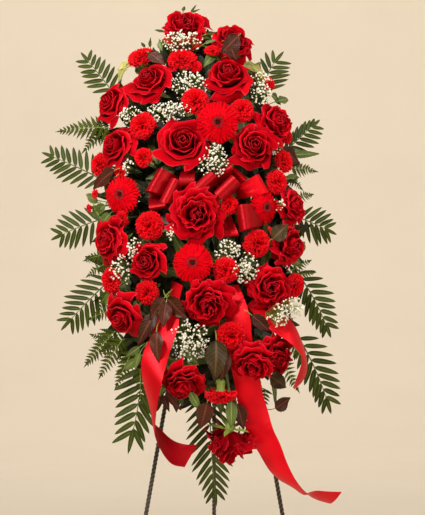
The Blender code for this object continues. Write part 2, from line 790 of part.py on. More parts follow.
def build():
    """Build the easel, the mechanics, the ribbon, the greenery and the flowers."""
    clear_scene()
    wire = material("wire_easel", (0.012, 0.010, 0.009), 0.4)
    bar = material("bar_easel", (0.014, 0.012, 0.011), 0.4)
    vinyl = material("tip_vinyl", (0.010, 0.010, 0.010), 0.6)
    tray = material("tray_plastic", (0.02, 0.10, 0.03), 0.5)
    foam = material("foam_green", (0.03, 0.13, 0.05), 0.9)
    tie = material("tie_plastic", (0.02, 0.08, 0.03), 0.5)
    rose = material("rose_petal", (0.40, 0.002, 0.008), 0.6)
    gerbera = material("gerbera_petal", (0.70, 0.008, 0.004), 0.6)
    carnation = material("carnation_petal", (0.80, 0.006, 0.008), 0.7)
    palm = material("palm_leaf", (0.035, 0.085, 0.025), 0.5)
    satin = material("satin_ribbon", (0.70, 0.006, 0.012), 0.3)

    make_easel(wire, bar, vinyl)
    for name, row in ROSES.items():
        make_rose(name, *row, rose)
    for name, row in GERBERAS.items():
        make_gerbera(name, *row, gerbera)
    for name, heads in CARNATION_SPRAYS.items():
        make_carnation_spray(name, heads, carnation)
    for name, row in PALMS.items():
        make_palm(name, *row, palm)
    for name, knots in RIBBONS.items():
        make_ribbon_tail(name, knots, satin)
    make_bow(satin)
    make_tray(tray)
    make_foam(foam)
    for label, along in zip(("upper", "lower"), TIE_PLACES):
        make_tie("tie_" + label, along, tie)
    settle()


build()
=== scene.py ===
"""Dressed standing funeral spray: red roses, gerberas and carnations on a twisted wire easel.

Metres, +Z up, the front faces -Y. Shapes are worked out in the easel's own coordinates, with the
two front feet on the line y = 0, and moved by SHIFT into the shared frame as they become meshes.
A place is (x, z, forward): across, up from the floor, and the level distance in front of the
leaning front frame. A facing is (yaw, pitch) in degrees: yaw to the right, pitch up.
"""

import json
import math

import bpy
import numpy as np
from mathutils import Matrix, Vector


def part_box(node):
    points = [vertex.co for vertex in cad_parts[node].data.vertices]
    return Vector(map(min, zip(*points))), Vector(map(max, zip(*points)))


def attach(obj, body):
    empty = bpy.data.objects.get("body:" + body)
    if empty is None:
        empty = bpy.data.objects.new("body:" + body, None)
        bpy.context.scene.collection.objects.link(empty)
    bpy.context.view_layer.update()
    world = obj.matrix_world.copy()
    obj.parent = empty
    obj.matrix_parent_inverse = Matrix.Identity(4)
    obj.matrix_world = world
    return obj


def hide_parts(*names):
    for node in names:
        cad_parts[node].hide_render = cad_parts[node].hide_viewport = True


bl_info = {
    "name": "Standing Funeral Spray",
    "version": (1, 0, 0),
    "blender": (4, 5, 0),
    "location": "3D View > Sidebar > Funeral Spray",
    "description": "Builds a standing spray of red flowers on a wire easel",
    "category": "Add Mesh",
}

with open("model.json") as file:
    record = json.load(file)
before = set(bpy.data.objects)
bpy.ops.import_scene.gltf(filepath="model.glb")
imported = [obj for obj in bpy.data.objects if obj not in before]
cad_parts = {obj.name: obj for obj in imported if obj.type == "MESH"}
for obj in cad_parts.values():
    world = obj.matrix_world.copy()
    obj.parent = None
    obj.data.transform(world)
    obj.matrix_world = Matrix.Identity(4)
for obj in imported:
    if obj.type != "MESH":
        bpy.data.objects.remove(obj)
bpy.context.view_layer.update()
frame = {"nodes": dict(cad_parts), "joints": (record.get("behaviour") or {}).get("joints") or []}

# ---------------------------------------------------------------- the easel's own coordinates
LEAN = math.radians(11.5)
HINGE_RAW_Y = 0.26447              # hinge axis behind the front feet
ALONG = np.array((0.0, math.sin(LEAN), math.cos(LEAN)))
FRONT = np.array((0.0, -math.cos(LEAN), math.sin(LEAN)))
ACROSS = np.array((1.0, 0.0, 0.0))
REAR_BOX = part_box("foot_rear")
SHIFT = np.array((
    (REAR_BOX[0].x + REAR_BOX[1].x) / 2,
    frame["joints"][0]["pos_m"][1] - HINGE_RAW_Y,
    0.0,
))

GAP = 0.0004
ROD_RADIUS = 0.0048
BAR_RADIUS = 0.0035
FOOT_HALF_SPREAD = 0.2546
LEG_SPLAY = 0.175
LEG_TOP_Z = 1.300
HINGE_Z = 1.258
REAR_FOOT_Y = 0.560
SLEEVE_OUTER = 0.0068
TIP_LENGTH = 0.030
TRAY_WALL = 0.003
FOAM_WIDTH = 0.118
FOAM_LENGTH = 0.438
FOAM_DEPTH = 0.080
FOAM_CENTRE = 1.215
FOAM_BACK = ROD_RADIUS + GAP + TRAY_WALL + GAP
FOAM_LOW = np.array((-FOAM_WIDTH / 2, FOAM_CENTRE - FOAM_LENGTH / 2, FOAM_BACK))
FOAM_HIGH = np.array((FOAM_WIDTH / 2, FOAM_CENTRE + FOAM_LENGTH / 2, FOAM_BACK + FOAM_DEPTH))
STEM_DEPTH = 0.030                 # how deep stems stand in the foam

# the ellipsoid that the flowers follow
MOUND_MIDDLE_X, MOUND_MIDDLE_Z = -0.035, 1.214
MOUND_HALF_WIDTH, MOUND_HALF_HEIGHT, MOUND_DEPTH = 0.235, 0.49, 0.20

GOLDEN_ANGLE = math.radians(137.508)
FULL_TURN = 2 * math.pi
ANY_TURN = 6.28                    # random turns and phases are drawn below this

# ---------------------------------------------------------------- where each flower stands
# place, head radius, facing, style
ROSES = {
    "rose_01": ((-0.060, 1.661, 0.140), 0.049, (-2, 38), "full"),
    "rose_02": ((0.037, 1.627, 0.148), 0.048, (18, 38), "full"),
    "rose_03": ((-0.131, 1.541, 0.190), 0.047, (-22, 34), "open"),
    "rose_04": ((0.031, 1.551, 0.196), 0.049, (-4, 36), "open"),
    "rose_05": ((-0.210, 1.498, 0.146), 0.045, (-48, 22), "open"),
    "rose_06": ((-0.199, 1.406, 0.185), 0.043, (-42, 18), "open"),
    "rose_07": ((-0.062, 1.408, 0.234), 0.051, (-3, 22), "open"),
    "rose_08": ((0.080, 1.403, 0.216), 0.048, (10, 16), "open"),
    "rose_09": ((0.126, 1.456, 0.168), 0.044, (42, 16), "full"),
    "rose_10": ((-0.037, 1.264, 0.252), 0.056, (-3, 4), "full"),
    "rose_11": ((-0.210, 1.212, 0.197), 0.045, (-48, 6), "full"),
    "rose_12": ((-0.133, 1.169, 0.238), 0.041, (-22, 6), "open"),
    "rose_13": ((0.158, 1.284, 0.165), 0.038, (52, 6), "full"),
    "rose_14": ((0.150, 1.204, 0.183), 0.044, (46, 0), "full"),
    "rose_15": ((-0.014, 1.087, 0.243), 0.050, (0, -20), "full"),
    "rose_16": ((0.111, 1.116, 0.207), 0.044, (6, 2), "full"),
    "rose_17": ((-0.182, 1.062, 0.207), 0.043, (-38, -22), "open"),
    "rose_18": ((0.076, 0.968, 0.212), 0.045, (-8, -32), "full"),
    "rose_19": ((0.118, 0.981, 0.192), 0.042, (22, -26), "ball"),
    "rose_20": ((-0.062, 0.928, 0.208), 0.045, (-6, -46), "full"),
    "rose_21": ((0.030, 0.806, 0.165), 0.050, (3, -114), "hung"),
}

# place, head radius, facing
GERBERAS = {
    "gerbera_01": ((0.007, 1.453, 0.256), 0.042, (4, 0)),
    "gerbera_02": ((-0.190, 1.306, 0.212), 0.038, (-25, 3)),
    "gerbera_03": ((0.103, 1.280, 0.215), 0.036, (43, 0)),
    "gerbera_04": ((-0.043, 1.167, 0.262), 0.039, (-5, 4)),
}

# heads on one branching stem each: place, radius, facing
CARNATION_SPRAYS = {
    "carnation_spray_a": (
        ((-0.154, 1.602, 0.148), 0.028, (-30, 58)),
        ((-0.067, 1.594, 0.182), 0.029, (-8, 54)),
        ((-0.040, 1.500, 0.222), 0.027, (-5, 15)),
    ),
    "carnation_spray_b": (
        ((0.058, 1.482, 0.206), 0.024, (12, 15)),
        ((0.146, 1.378, 0.172), 0.023, (50, 12)),
        ((0.130, 1.333, 0.192), 0.024, (40, 5)),
    ),
    "carnation_spray_c": (
        ((-0.149, 1.450, 0.209), 0.027, (-25, 12)),
        ((-0.146, 1.383, 0.221), 0.019, (-25, 5)),
        ((-0.240, 1.372, 0.153), 0.023, (-55, 8)),
    ),
    "carnation_spray_d": (
        ((-0.132, 1.242, 0.240), 0.028, (-22, 0)),
        ((-0.211, 1.130, 0.197), 0.025, (-50, -10)),
        ((-0.136, 1.106, 0.231), 0.024, (-25, -12)),
    ),
    "carnation_spray_e": (
        ((0.088, 1.207, 0.226), 0.027, (25, -3)),
        ((0.024, 1.152, 0.244), 0.025, (5, -8)),
        ((0.167, 1.120, 0.157), 0.024, (50, -10)),
    ),
    "carnation_spray_f": (
        ((0.034, 1.019, 0.228), 0.028, (5, -20)),
        ((0.013, 0.900, 0.206), 0.030, (3, -93)),
    ),
}

# small side carnations and closed buds: place, radius, facing, share of the petals that are open
SIDE_CARNATIONS = (
    ((-0.003, 1.612, 0.178), 0.016, (10, 55), 1.0),
    ((-0.038, 1.576, 0.186), 0.012, (-15, 20), 1.0),
    ((-0.195, 1.354, 0.199), 0.014, (-35, 0), 1.0),
    ((-0.190, 1.256, 0.205), 0.016, (-45, -10), 1.0),
    ((0.032, 1.284, 0.240), 0.018, (15, 5), 1.0),
    ((0.115, 1.545, 0.139), 0.016, (50, 25), 1.0),
    ((0.152, 1.432, 0.150), 0.016, (55, 10), 1.0),
    ((-0.244, 1.309, 0.170), 0.012, (-50, 10), 0.5),
    ((-0.257, 1.281, 0.156), 0.011, (-55, -10), 0.45),
)

# base and tip of the leafy part; longest leaflet; pairs of leaflets; their lean from the rachis
# on its left and right, in degrees; the last leaflets' share of the longest; how far the rachis
# arches forward, and to the right
PALMS = {
    "palm_01": ((-0.209, 1.522, 0.095), (-0.274, 1.604, 0.065), 0.048, 8, 60, 60, 0.64, 0.003, 0.0),
    "palm_02": ((-0.236, 1.342, 0.105), (-0.346, 1.393, 0.085), 0.052, 9, 60, 60, 0.60, 0.008, 0.0),
    "palm_03": ((-0.236, 1.258, 0.110), (-0.323, 1.224, 0.090), 0.053, 7, 62, 62, 0.60, 0.008, 0.0),
    "palm_04": ((-0.212, 1.135, 0.115), (-0.302, 1.045, 0.085), 0.060, 9, 58, 58, 0.60, 0.010, 0.0),
    "palm_05": ((-0.145, 1.010, 0.112), (-0.168, 0.814, 0.095), 0.066, 11, 46, 66, 0.78, 0.012,
                0.006),
    "palm_06": ((-0.010, 0.925, 0.100), (0.002, 0.694, 0.075), 0.076, 14, 50, 50, 0.44, 0.010,
                -0.003),
    "palm_07": ((0.110, 1.528, 0.095), (0.134, 1.602, 0.070), 0.054, 6, 46, 70, 0.72, 0.004,
                -0.008),
    "palm_08": ((0.148, 1.399, 0.095), (0.212, 1.460, 0.070), 0.046, 7, 34, 62, 0.64, 0.005, 0.0),
    "palm_09": ((0.176, 1.262, 0.095), (0.238, 1.236, 0.080), 0.052, 6, 62, 58, 0.60, 0.005, 0.0),
    "palm_10": ((0.172, 1.148, 0.100), (0.235, 1.032, 0.080), 0.052, 9, 62, 46, 0.58, 0.008, 0.004),
    "palm_11": ((0.174, 1.014, 0.090), (0.234, 0.880, 0.075), 0.056, 9, 60, 44, 0.62, 0.008, 0.004),
}

# fronds whose leaflets are broader than the rest's
BROAD_FRONDS = {"palm_05": 1.35, "palm_10": 1.12, "palm_11": 1.20}

# clouds of baby's breath: middle, half width, half height
BABYS_BREATH = (
    ((-0.067, 1.631, 0.184), 0.040, 0.021),
    ((-0.054, 1.534, 0.206), 0.034, 0.029),
    ((-0.174, 1.473, 0.194), 0.024, 0.017),
    ((-0.112, 1.476, 0.206), 0.030, 0.019),
    ((-0.082, 1.480, 0.222), 0.030, 0.018),
    ((0.098, 1.550, 0.182), 0.020, 0.014),
    ((0.098, 1.520, 0.188), 0.022, 0.022),
    ((-0.002, 1.374, 0.240), 0.028, 0.033),
    ((-0.160, 1.195, 0.230), 0.014, 0.023),
    ((-0.191, 1.151, 0.213), 0.018, 0.029),
    ((0.027, 1.192, 0.243), 0.024, 0.019),
    ((0.060, 1.158, 0.238), 0.027, 0.029),
    ((-0.052, 1.011, 0.238), 0.038, 0.038),
    ((0.128, 1.062, 0.242), 0.022, 0.021),
    ((0.158, 1.077, 0.236), 0.022, 0.019),
    ((-0.177, 1.363, 0.212), 0.010, 0.012),
    ((-0.085, 1.229, 0.250), 0.010, 0.014),
    ((0.133, 1.286, 0.198), 0.009, 0.013),
    ((0.124, 1.406, 0.188), 0.010, 0.014),
)

# single leaves: base, tip, width
BROWN_LEAVES = (
    ((-0.100, 1.097, 0.250), (-0.128, 1.054, 0.252), 0.036),
    ((-0.118, 1.068, 0.250), (-0.155, 1.002, 0.238), 0.034),
    ((-0.094, 1.097, 0.252), (-0.056, 1.056, 0.258), 0.042),
    ((-0.096, 1.088, 0.257), (-0.102, 1.040, 0.262), 0.032),
    ((-0.115, 1.030, 0.262), (-0.113, 0.971, 0.262), 0.032),
    ((0.022, 0.989, 0.236), (0.016, 0.933, 0.226), 0.032),
    ((-0.102, 0.903, 0.216), (-0.090, 0.869, 0.204), 0.016),
    ((-0.096, 0.907, 0.216), (-0.066, 0.871, 0.204), 0.016),
    ((-0.108, 0.901, 0.214), (-0.115, 0.869, 0.202), 0.016),
    ((-0.014, 0.887, 0.210), (-0.028, 0.834, 0.196), 0.040),
    ((0.046, 0.884, 0.196), (0.060, 0.832, 0.182), 0.032),
    ((0.124, 0.872, 0.150), (0.157, 0.892, 0.130), 0.032),
    ((-0.206, 1.356, 0.204), (-0.254, 1.320, 0.158), 0.042),
    ((-0.204, 1.342, 0.202), (-0.226, 1.310, 0.176), 0.030),
    ((0.143, 1.402, 0.170), (0.182, 1.372, 0.120), 0.036),
    ((0.164, 1.189, 0.167), (0.183, 1.183, 0.139), 0.024),
    ((0.076, 1.062, 0.232), (0.118, 1.024, 0.212), 0.030),
    ((0.050, 1.640, 0.198), (0.014, 1.602, 0.206), 0.036),
    ((0.030, 1.624, 0.200), (0.046, 1.588, 0.200), 0.038),
    ((-0.136, 1.606, 0.178), (-0.102, 1.580, 0.190), 0.030),
    ((0.079, 1.562, 0.172), (0.104, 1.528, 0.150), 0.034),
    ((-0.166, 1.096, 0.216), (-0.190, 1.070, 0.200), 0.024),
)

# brown leaves that have turned greener
BRONZE_LEAVES = (
    ((0.004, 1.013, 0.248), (0.002, 0.932, 0.238), 0.052),
    ((0.112, 0.940, 0.195), (0.148, 0.914, 0.165), 0.038),
    ((0.118, 1.216, 0.222), (0.152, 1.246, 0.214), 0.038),
)

# green rose leaves
GREEN_LEAVES = (
    ((-0.150, 1.565, 0.140), (-0.170, 1.590, 0.110), 0.022),
    ((0.034, 0.890, 0.208), (0.034, 0.836, 0.198), 0.028),
    ((0.012, 0.905, 0.200), (0.014, 0.862, 0.190), 0.020),
    ((-0.048, 0.909, 0.214), (-0.026, 0.869, 0.202), 0.020),
    ((0.177, 1.208, 0.148), (0.188, 1.192, 0.129), 0.022),
    ((-0.240, 1.296, 0.165), (-0.274, 1.310, 0.100), 0.022),
    ((-0.250, 1.284, 0.150), (-0.228, 1.250, 0.180), 0.026),
    ((-0.225, 1.285, 0.180), (-0.252, 1.262, 0.150), 0.028),
    ((-0.214, 1.268, 0.185), (-0.236, 1.240, 0.165), 0.026),
    ((0.134, 1.507, 0.136), (0.160, 1.516, 0.085), 0.022),
    ((0.120, 1.520, 0.150), (0.142, 1.500, 0.120), 0.022),
    ((-0.020, 1.626, 0.176), (0.006, 1.636, 0.170), 0.010),
    ((-0.116, 1.632, 0.148), (-0.110, 1.612, 0.152), 0.014),
    ((-0.016, 1.618, 0.170), (0.010, 1.590, 0.176), 0.026),
    ((0.000, 1.606, 0.172), (-0.022, 1.576, 0.182), 0.022),
    ((0.028, 1.600, 0.170), (0.060, 1.604, 0.160), 0.022),
    ((-0.062, 1.000, 0.228), (-0.030, 0.960, 0.218), 0.022),
    ((-0.150, 0.998, 0.205), (-0.180, 0.976, 0.180), 0.018),
    ((-0.150, 0.985, 0.200), (-0.162, 0.950, 0.180), 0.018),
    ((-0.158, 0.972, 0.180), (-0.186, 0.948, 0.150), 0.020),
    ((-0.196, 1.150, 0.190), (-0.224, 1.112, 0.160), 0.024),
    ((-0.204, 1.112, 0.180), (-0.226, 1.080, 0.150), 0.022),
    ((0.159, 1.393, 0.120), (0.224, 1.398, 0.090), 0.020),
    ((0.149, 1.342, 0.140), (0.182, 1.346, 0.100), 0.022),
    ((0.150, 1.180, 0.170), (0.186, 1.160, 0.120), 0.026),
    ((0.118, 0.922, 0.160), (0.128, 0.872, 0.130), 0.014),
)

# thin dark leaves between the top flowers
THIN_LEAVES = (
    ((-0.049, 1.698, 0.130), (-0.038, 1.720, 0.110), 0.006),
    ((-0.046, 1.698, 0.130), (-0.030, 1.710, 0.110), 0.006),
    ((-0.066, 1.702, 0.130), (-0.063, 1.714, 0.120), 0.008),
    ((-0.106, 1.654, 0.145), (-0.128, 1.664, 0.115), 0.008),
    ((-0.135, 1.622, 0.140), (-0.136, 1.646, 0.125), 0.008),
    ((-0.146, 1.622, 0.140), (-0.156, 1.636, 0.120), 0.007),
    ((-0.016, 1.648, 0.164), (0.008, 1.652, 0.150), 0.010),
    ((-0.024, 1.640, 0.160), (0.000, 1.640, 0.156), 0.009),
    ((-0.100, 1.622, 0.160), (-0.116, 1.640, 0.140), 0.009),
)

# pale leaves, turned at the edges
PALE_LEAVES = (
    ((-0.174, 1.590, 0.130), (-0.206, 1.576, 0.126), 0.024),
    ((-0.186, 1.584, 0.132), (-0.204, 1.548, 0.130), 0.026),
    ((0.062, 1.584, 0.158), (0.104, 1.566, 0.132), 0.028),
    ((0.082, 1.580, 0.160), (0.112, 1.546, 0.126), 0.026),
)

# fern fronds: base, tip, longest pinna, pairs
FERNS = (
    ((-0.222, 1.450, 0.130), (-0.328, 1.445, 0.085), 0.042, 11),
    ((-0.230, 1.448, 0.120), (-0.274, 1.404, 0.090), 0.030, 8),
    ((-0.203, 1.027, 0.150), (-0.264, 0.957, 0.090), 0.040, 11),
    ((-0.205, 0.999, 0.140), (-0.253, 1.017, 0.090), 0.026, 8),
    ((-0.188, 1.010, 0.160), (-0.234, 0.934, 0.100), 0.036, 10),
    ((-0.168, 0.985, 0.165), (-0.200, 0.915, 0.120), 0.032, 9),
    ((-0.150, 0.950, 0.170), (-0.150, 0.880, 0.120), 0.026, 9),
    ((-0.205, 1.072, 0.145), (-0.258, 1.050, 0.090), 0.028, 9),
    ((0.150, 1.146, 0.150), (0.198, 1.170, 0.100), 0.026, 8),
    ((0.160, 1.138, 0.145), (0.206, 1.146, 0.100), 0.024, 8),
    ((-0.182, 1.012, 0.160), (-0.230, 0.985, 0.110), 0.030, 8),
    ((-0.212, 1.186, 0.150), (-0.268, 1.172, 0.090), 0.030, 9),
    ((-0.216, 1.170, 0.150), (-0.262, 1.140, 0.095), 0.026, 8),
    ((-0.210, 1.120, 0.150), (-0.240, 1.070, 0.110), 0.024, 8),
    ((0.163, 1.366, 0.120), (0.212, 1.360, 0.085), 0.027, 8),
    ((0.160, 1.342, 0.125), (0.182, 1.324, 0.090), 0.019, 6),
    ((-0.036, 0.963, 0.228), (-0.080, 0.946, 0.222), 0.020, 8),
    ((0.134, 0.969, 0.150), (0.172, 0.905, 0.090), 0.030, 9),
    ((0.150, 1.010, 0.160), (0.190, 0.960, 0.110), 0.030, 9),
    ((0.104, 0.910, 0.150), (0.098, 0.856, 0.120), 0.020, 8),
    ((0.170, 1.300, 0.130), (0.205, 1.310, 0.085), 0.024, 8),
    ((-0.120, 1.560, 0.150), (-0.160, 1.610, 0.110), 0.026, 8),
    ((0.060, 0.905, 0.150), (0.062, 0.850, 0.120), 0.024, 8),
)

# ---------------------------------------------------------------- satin ribbon
# tails by their two edges as seen from the front: left x, left z, right x, right z, forward
TAILS = {
    "ribbon_tail_left": (
        (-0.087, 1.132, -0.063, 1.122, 0.212),
        (-0.092, 1.099, -0.070, 1.090, 0.222),
        (-0.111, 1.058, -0.071, 1.045, 0.232),
        (-0.128, 1.020, -0.083, 1.008, 0.241),
        (-0.141, 0.989, -0.092, 0.977, 0.247),
        (-0.146, 0.959, -0.100, 0.949, 0.250),
        (-0.142, 0.928, -0.105, 0.924, 0.246),
        (-0.135, 0.899, -0.111, 0.897, 0.236),
        (-0.127, 0.870, -0.115, 0.870, 0.227),
        (-0.120, 0.846, -0.117, 0.846, 0.219),
        (-0.107, 0.833, -0.118, 0.827, 0.213),
        (-0.092, 0.818, -0.110, 0.805, 0.207),
        (-0.076, 0.808, -0.098, 0.783, 0.201),
        (-0.055, 0.803, -0.082, 0.766, 0.195),
        (-0.033, 0.803, -0.059, 0.760, 0.189),
    ),
    "ribbon_tail_long": (
        (0.000, 1.113, 0.049, 1.123, 0.200),
        (0.015, 1.079, 0.063, 1.089, 0.212),
        (0.024, 1.048, 0.073, 1.054, 0.218),
        (0.026, 1.020, 0.075, 1.023, 0.216),
        (0.030, 0.988, 0.081, 0.991, 0.208),
        (0.035, 0.953, 0.088, 0.956, 0.197),
        (0.042, 0.919, 0.094, 0.924, 0.186),
        (0.047, 0.888, 0.097, 0.907, 0.178),
        (0.058, 0.848, 0.108, 0.870, 0.166),
        (0.072, 0.815, 0.119, 0.832, 0.157),
        (0.091, 0.781, 0.133, 0.802, 0.149),
        (0.112, 0.746, 0.146, 0.766, 0.142),
        (0.134, 0.725, 0.160, 0.737, 0.138),
        (0.160, 0.711, 0.173, 0.718, 0.136),
        (0.177, 0.701, 0.185, 0.706, 0.136),
        (0.185, 0.701, 0.192, 0.707, 0.136),
        (0.198, 0.691, 0.205, 0.710, 0.136),
        (0.215, 0.684, 0.229, 0.708, 0.135),
        (0.235, 0.679, 0.256, 0.707, 0.134),
    ),
    "ribbon_tail_short": (
        (0.066, 1.079, 0.093, 1.106, 0.176),
        (0.093, 1.050, 0.122, 1.079, 0.190),
        (0.118, 1.029, 0.146, 1.060, 0.208),
        (0.141, 1.015, 0.164, 1.038, 0.222),
        (0.160, 1.000, 0.175, 1.013, 0.230),
        (0.172, 0.984, 0.182, 0.990, 0.230),
        (0.173, 0.969, 0.186, 0.971, 0.229),
        (0.170, 0.956, 0.187, 0.956, 0.228),
        (0.165, 0.942, 0.184, 0.941, 0.227),
        (0.160, 0.929, 0.174, 0.927, 0.226),
        (0.156, 0.920, 0.158, 0.917, 0.225),
    ),
}

# place of the knot
KNOT = (-0.017, 1.309, 0.175)

# loops of the bow: two ends of the outer fold, two ends of the root, how far the bands bulge
BOW_LOOPS = (
    ((-0.112, 1.360, 0.222), (-0.138, 1.313, 0.230),
     (-0.067, 1.335, 0.189), (-0.081, 1.295, 0.194), 0.014),
    ((-0.082, 1.339, 0.250), (-0.107, 1.290, 0.254),
     (-0.056, 1.323, 0.199), (-0.068, 1.287, 0.204), 0.013),
    ((-0.073, 1.325, 0.246), (-0.041, 1.323, 0.244),
     (-0.065, 1.358, 0.204), (-0.039, 1.358, 0.204), 0.013),
    ((-0.132, 1.273, 0.215), (-0.096, 1.280, 0.222),
     (-0.131, 1.309, 0.194), (-0.093, 1.299, 0.199), 0.008),
    ((0.036, 1.368, 0.238), (0.004, 1.350, 0.224),
     (0.026, 1.334, 0.189), (0.006, 1.321, 0.184), 0.014),
    ((-0.003, 1.350, 0.250), (-0.037, 1.318, 0.256),
     (0.008, 1.335, 0.199), (-0.009, 1.315, 0.204), 0.015),
    ((0.043, 1.338, 0.262), (0.006, 1.302, 0.264),
     (0.044, 1.325, 0.204), (0.026, 1.304, 0.209), 0.016),
    ((0.041, 1.362, 0.210), (0.066, 1.338, 0.210),
     (0.032, 1.343, 0.186), (0.050, 1.325, 0.186), 0.008),
    ((0.090, 1.348, 0.226), (0.111, 1.311, 0.222),
     (0.046, 1.321, 0.199), (0.044, 1.295, 0.199), 0.018),
    ((0.048, 1.283, 0.246), (0.056, 1.232, 0.248),
     (0.092, 1.280, 0.206), (0.096, 1.242, 0.206), 0.016),
    ((0.050, 1.222, 0.218), (0.018, 1.220, 0.218),
     (0.034, 1.263, 0.199), (0.014, 1.259, 0.199), 0.006),
)


# ---------------------------------------------------------------- small vector helpers
def unit(vectors):
    """Each vector divided by its own length."""
    return vectors / np.maximum(np.linalg.norm(vectors, axis=-1, keepdims=True), 1e-9)


def column(values, ways=2):
    """Numbers of each form of a run, shaped to meet grids with so many ways."""
    return np.reshape(values, (-1,) + (1,) * ways)


def polar(reach, turn, height):
    """Points at a reach from the Z axis, a turn round it and a height along it."""
    return np.stack(np.broadcast_arrays(reach * np.cos(turn), reach * np.sin(turn), height), -1)


def spray_points(places):
    """Points of (x, z, forward) places: y = z * tan(lean) - forward."""
    rows = np.asarray(places, float)
    x, z, forward = rows[..., 0], rows[..., 1], rows[..., 2]
    return np.stack((x, z * math.tan(LEAN) - forward, z), -1)


def facing_vector(facing):
    """Unit vector of a (yaw, pitch) facing in degrees."""
    yaw, pitch = np.radians(np.asarray(facing, float))
    return np.array((math.sin(yaw) * math.cos(pitch), -math.cos(yaw) * math.cos(pitch),
                     math.sin(pitch)))


def head_axes(ahead):
    """Rows: to the right, up, and ahead, of a head that looks ahead."""
    side = unit(np.cross((0.0, 0.0, 1.0), ahead))
    return np.stack((side, np.cross(ahead, side), ahead))


def to_frame(point):
    """Coordinates square to the leaning frame: across, along, out."""
    return np.array((point[0], point @ ALONG, point @ FRONT))


def frame_point(across, along, out):
    """World point from coordinates square to the leaning frame."""
    return ACROSS * across + ALONG * along + FRONT * out


def smooth_step(x):
    """0 below 0, 1 above 1, and 3x^2 - 2x^3 between."""
    x = np.clip(x, 0, 1)
    return x * x * (3 - 2 * x)


def mound_normals(points):
    """Outward directions of the flower mound: the gradient of its ellipsoid."""
    out = np.empty_like(points)
    out[..., 0] = (points[..., 0] - MOUND_MIDDLE_X) / MOUND_HALF_WIDTH ** 2
    out[..., 2] = (points[..., 2] - MOUND_MIDDLE_Z) / MOUND_HALF_HEIGHT ** 2
    forward = points[..., 2] * math.tan(LEAN) - points[..., 1]
    out[..., 1] = -np.maximum(forward, 0.02) / MOUND_DEPTH ** 2
    return unit(out)


def curve_through(rows, steps):
    """Catmull-Rom curve through rows of numbers, with steps points a span, as one array."""
    rows = np.asarray(rows, float)
    padded = np.vstack((2 * rows[0] - rows[1], rows, 2 * rows[-1] - rows[-2]))
    a, b, c, d = (padded[i:i + len(rows) - 1, None] for i in range(4))
    t = np.linspace(0, 1, steps, endpoint=False)[None, :, None]
    spans = 0.5 * (2 * b + (c - a) * t + (2 * a - 5 * b + 4 * c - d) * t ** 2
                   + (3 * b - 3 * c + d - a) * t ** 3)
    return np.vstack((spans.reshape(-1, rows.shape[1]), rows[-1:]))


def bent(start, elbow, end, steps):
    """Points of one quadratic curve from start to end, drawn towards the elbow."""
    t = np.linspace(0, 1, steps)[:, None]
    return start * (1 - t) ** 2 + elbow * (2 * t * (1 - t)) + end * t ** 2


# ---------------------------------------------------------------- surfaces as arrays
def run_of_forms(points, faces, uv, grown, finish):
    """Arrays of like forms: each has the same lists of face corners and the same uv."""
    n, size = grown.shape[:2]
    starts = column(np.arange(n) * size)
    return {"points": points.reshape(-1, 3),
            "faces": [(one + starts).reshape(-1, one.shape[1]) for one in faces],
            "uv": np.broadcast_to(uv, (n, size, 2)).reshape(-1, 2),
            "grown": grown.reshape(-1, 4), "finish": finish}


def grid_uv(a, b):
    """uv of a grid: u runs over its first way and v over its second."""
    u, v = np.meshgrid(np.linspace(0, 1, a), np.linspace(0, 1, b), indexing="ij")
    return np.stack((u, v), -1).reshape(-1, 2)


def growth_colours(n, size, tone):
    """Growth colours of n forms of size points: the tone of the form, then zeros."""
    grown = np.zeros((n, size, 4))
    grown[..., 0] = column(tone, 1)
    grown[..., 3] = 1.0
    return grown


def ring_walls(rings, sides):
    """Point numbers of rings one after another, and the quads between them."""
    index = np.arange(rings * sides).reshape(rings, sides)
    after = np.roll(index, -1, 1)
    walls = np.stack((index[:-1], after[:-1], after[1:], index[1:]), -1)
    return index, after, walls.reshape(-1, 4)


def skin(points, thickness, tone, finish, depth=0.0):
    """Closed thin sheets from grids of points (sheets, a, b).

    The front is the grid. The back is the grid moved by the thickness against the surface's
    normal, which is the cross product of the two ways' gradients. Walls join them all round.
    """
    n, a, b, _ = points.shape
    size = a * b
    normal = unit(np.cross(np.gradient(points, axis=1), np.gradient(points, axis=2)))
    both = np.stack((points, points - normal * thickness), 1)
    index = np.arange(size).reshape(a, b)
    front = np.stack((index[:-1, :-1], index[1:, :-1], index[1:, 1:], index[:-1, 1:]),
                     -1).reshape(-1, 4)
    rim = np.concatenate((index[:, 0], index[-1, 1:], index[-2::-1, -1], index[0, -2:0:-1]))
    after = np.roll(rim, -1)
    walls = np.stack((after, rim, rim + size, after + size), -1)
    faces = np.concatenate((front, front[:, ::-1] + size, walls))
    grown = growth_colours(n, 2 * size, tone)
    grown[:, size:, 1] = 1.0
    grown[..., 2] = column(depth, 1)
    return run_of_forms(both, [faces], np.tile(grid_uv(a, b), (2, 1)), grown, finish)


def tubes(paths, radii, sides, tone, finish):
    """Closed round tubes along paths (tubes, stations): a circle of the radius set square to the
    path at each station, with a flat cap at either end."""
    paths = np.asarray(paths, float)
    n, m, _ = paths.shape
    tangent = unit(np.gradient(paths, axis=1))
    chord = unit(paths[:, -1] - paths[:, 0] + 1e-6)
    helper = np.eye(3)[np.argmin(np.abs(chord), -1)][:, None]
    side = unit(np.cross(helper, tangent))
    third = np.cross(tangent, side)
    turn = np.linspace(0, FULL_TURN, sides, endpoint=False)[:, None]
    circle = side[:, :, None] * np.cos(turn) + third[:, :, None] * np.sin(turn)
    reach = np.broadcast_to(np.asarray(radii, float), (n, m))[:, :, None, None]
    index, _, walls = ring_walls(m, sides)
    caps = np.stack((index[0, ::-1], index[-1]))
    return run_of_forms(paths[:, :, None] + circle * reach, [walls, caps],
                        grid_uv(m, sides)[:, ::-1], growth_colours(n, m * sides, tone), finish)


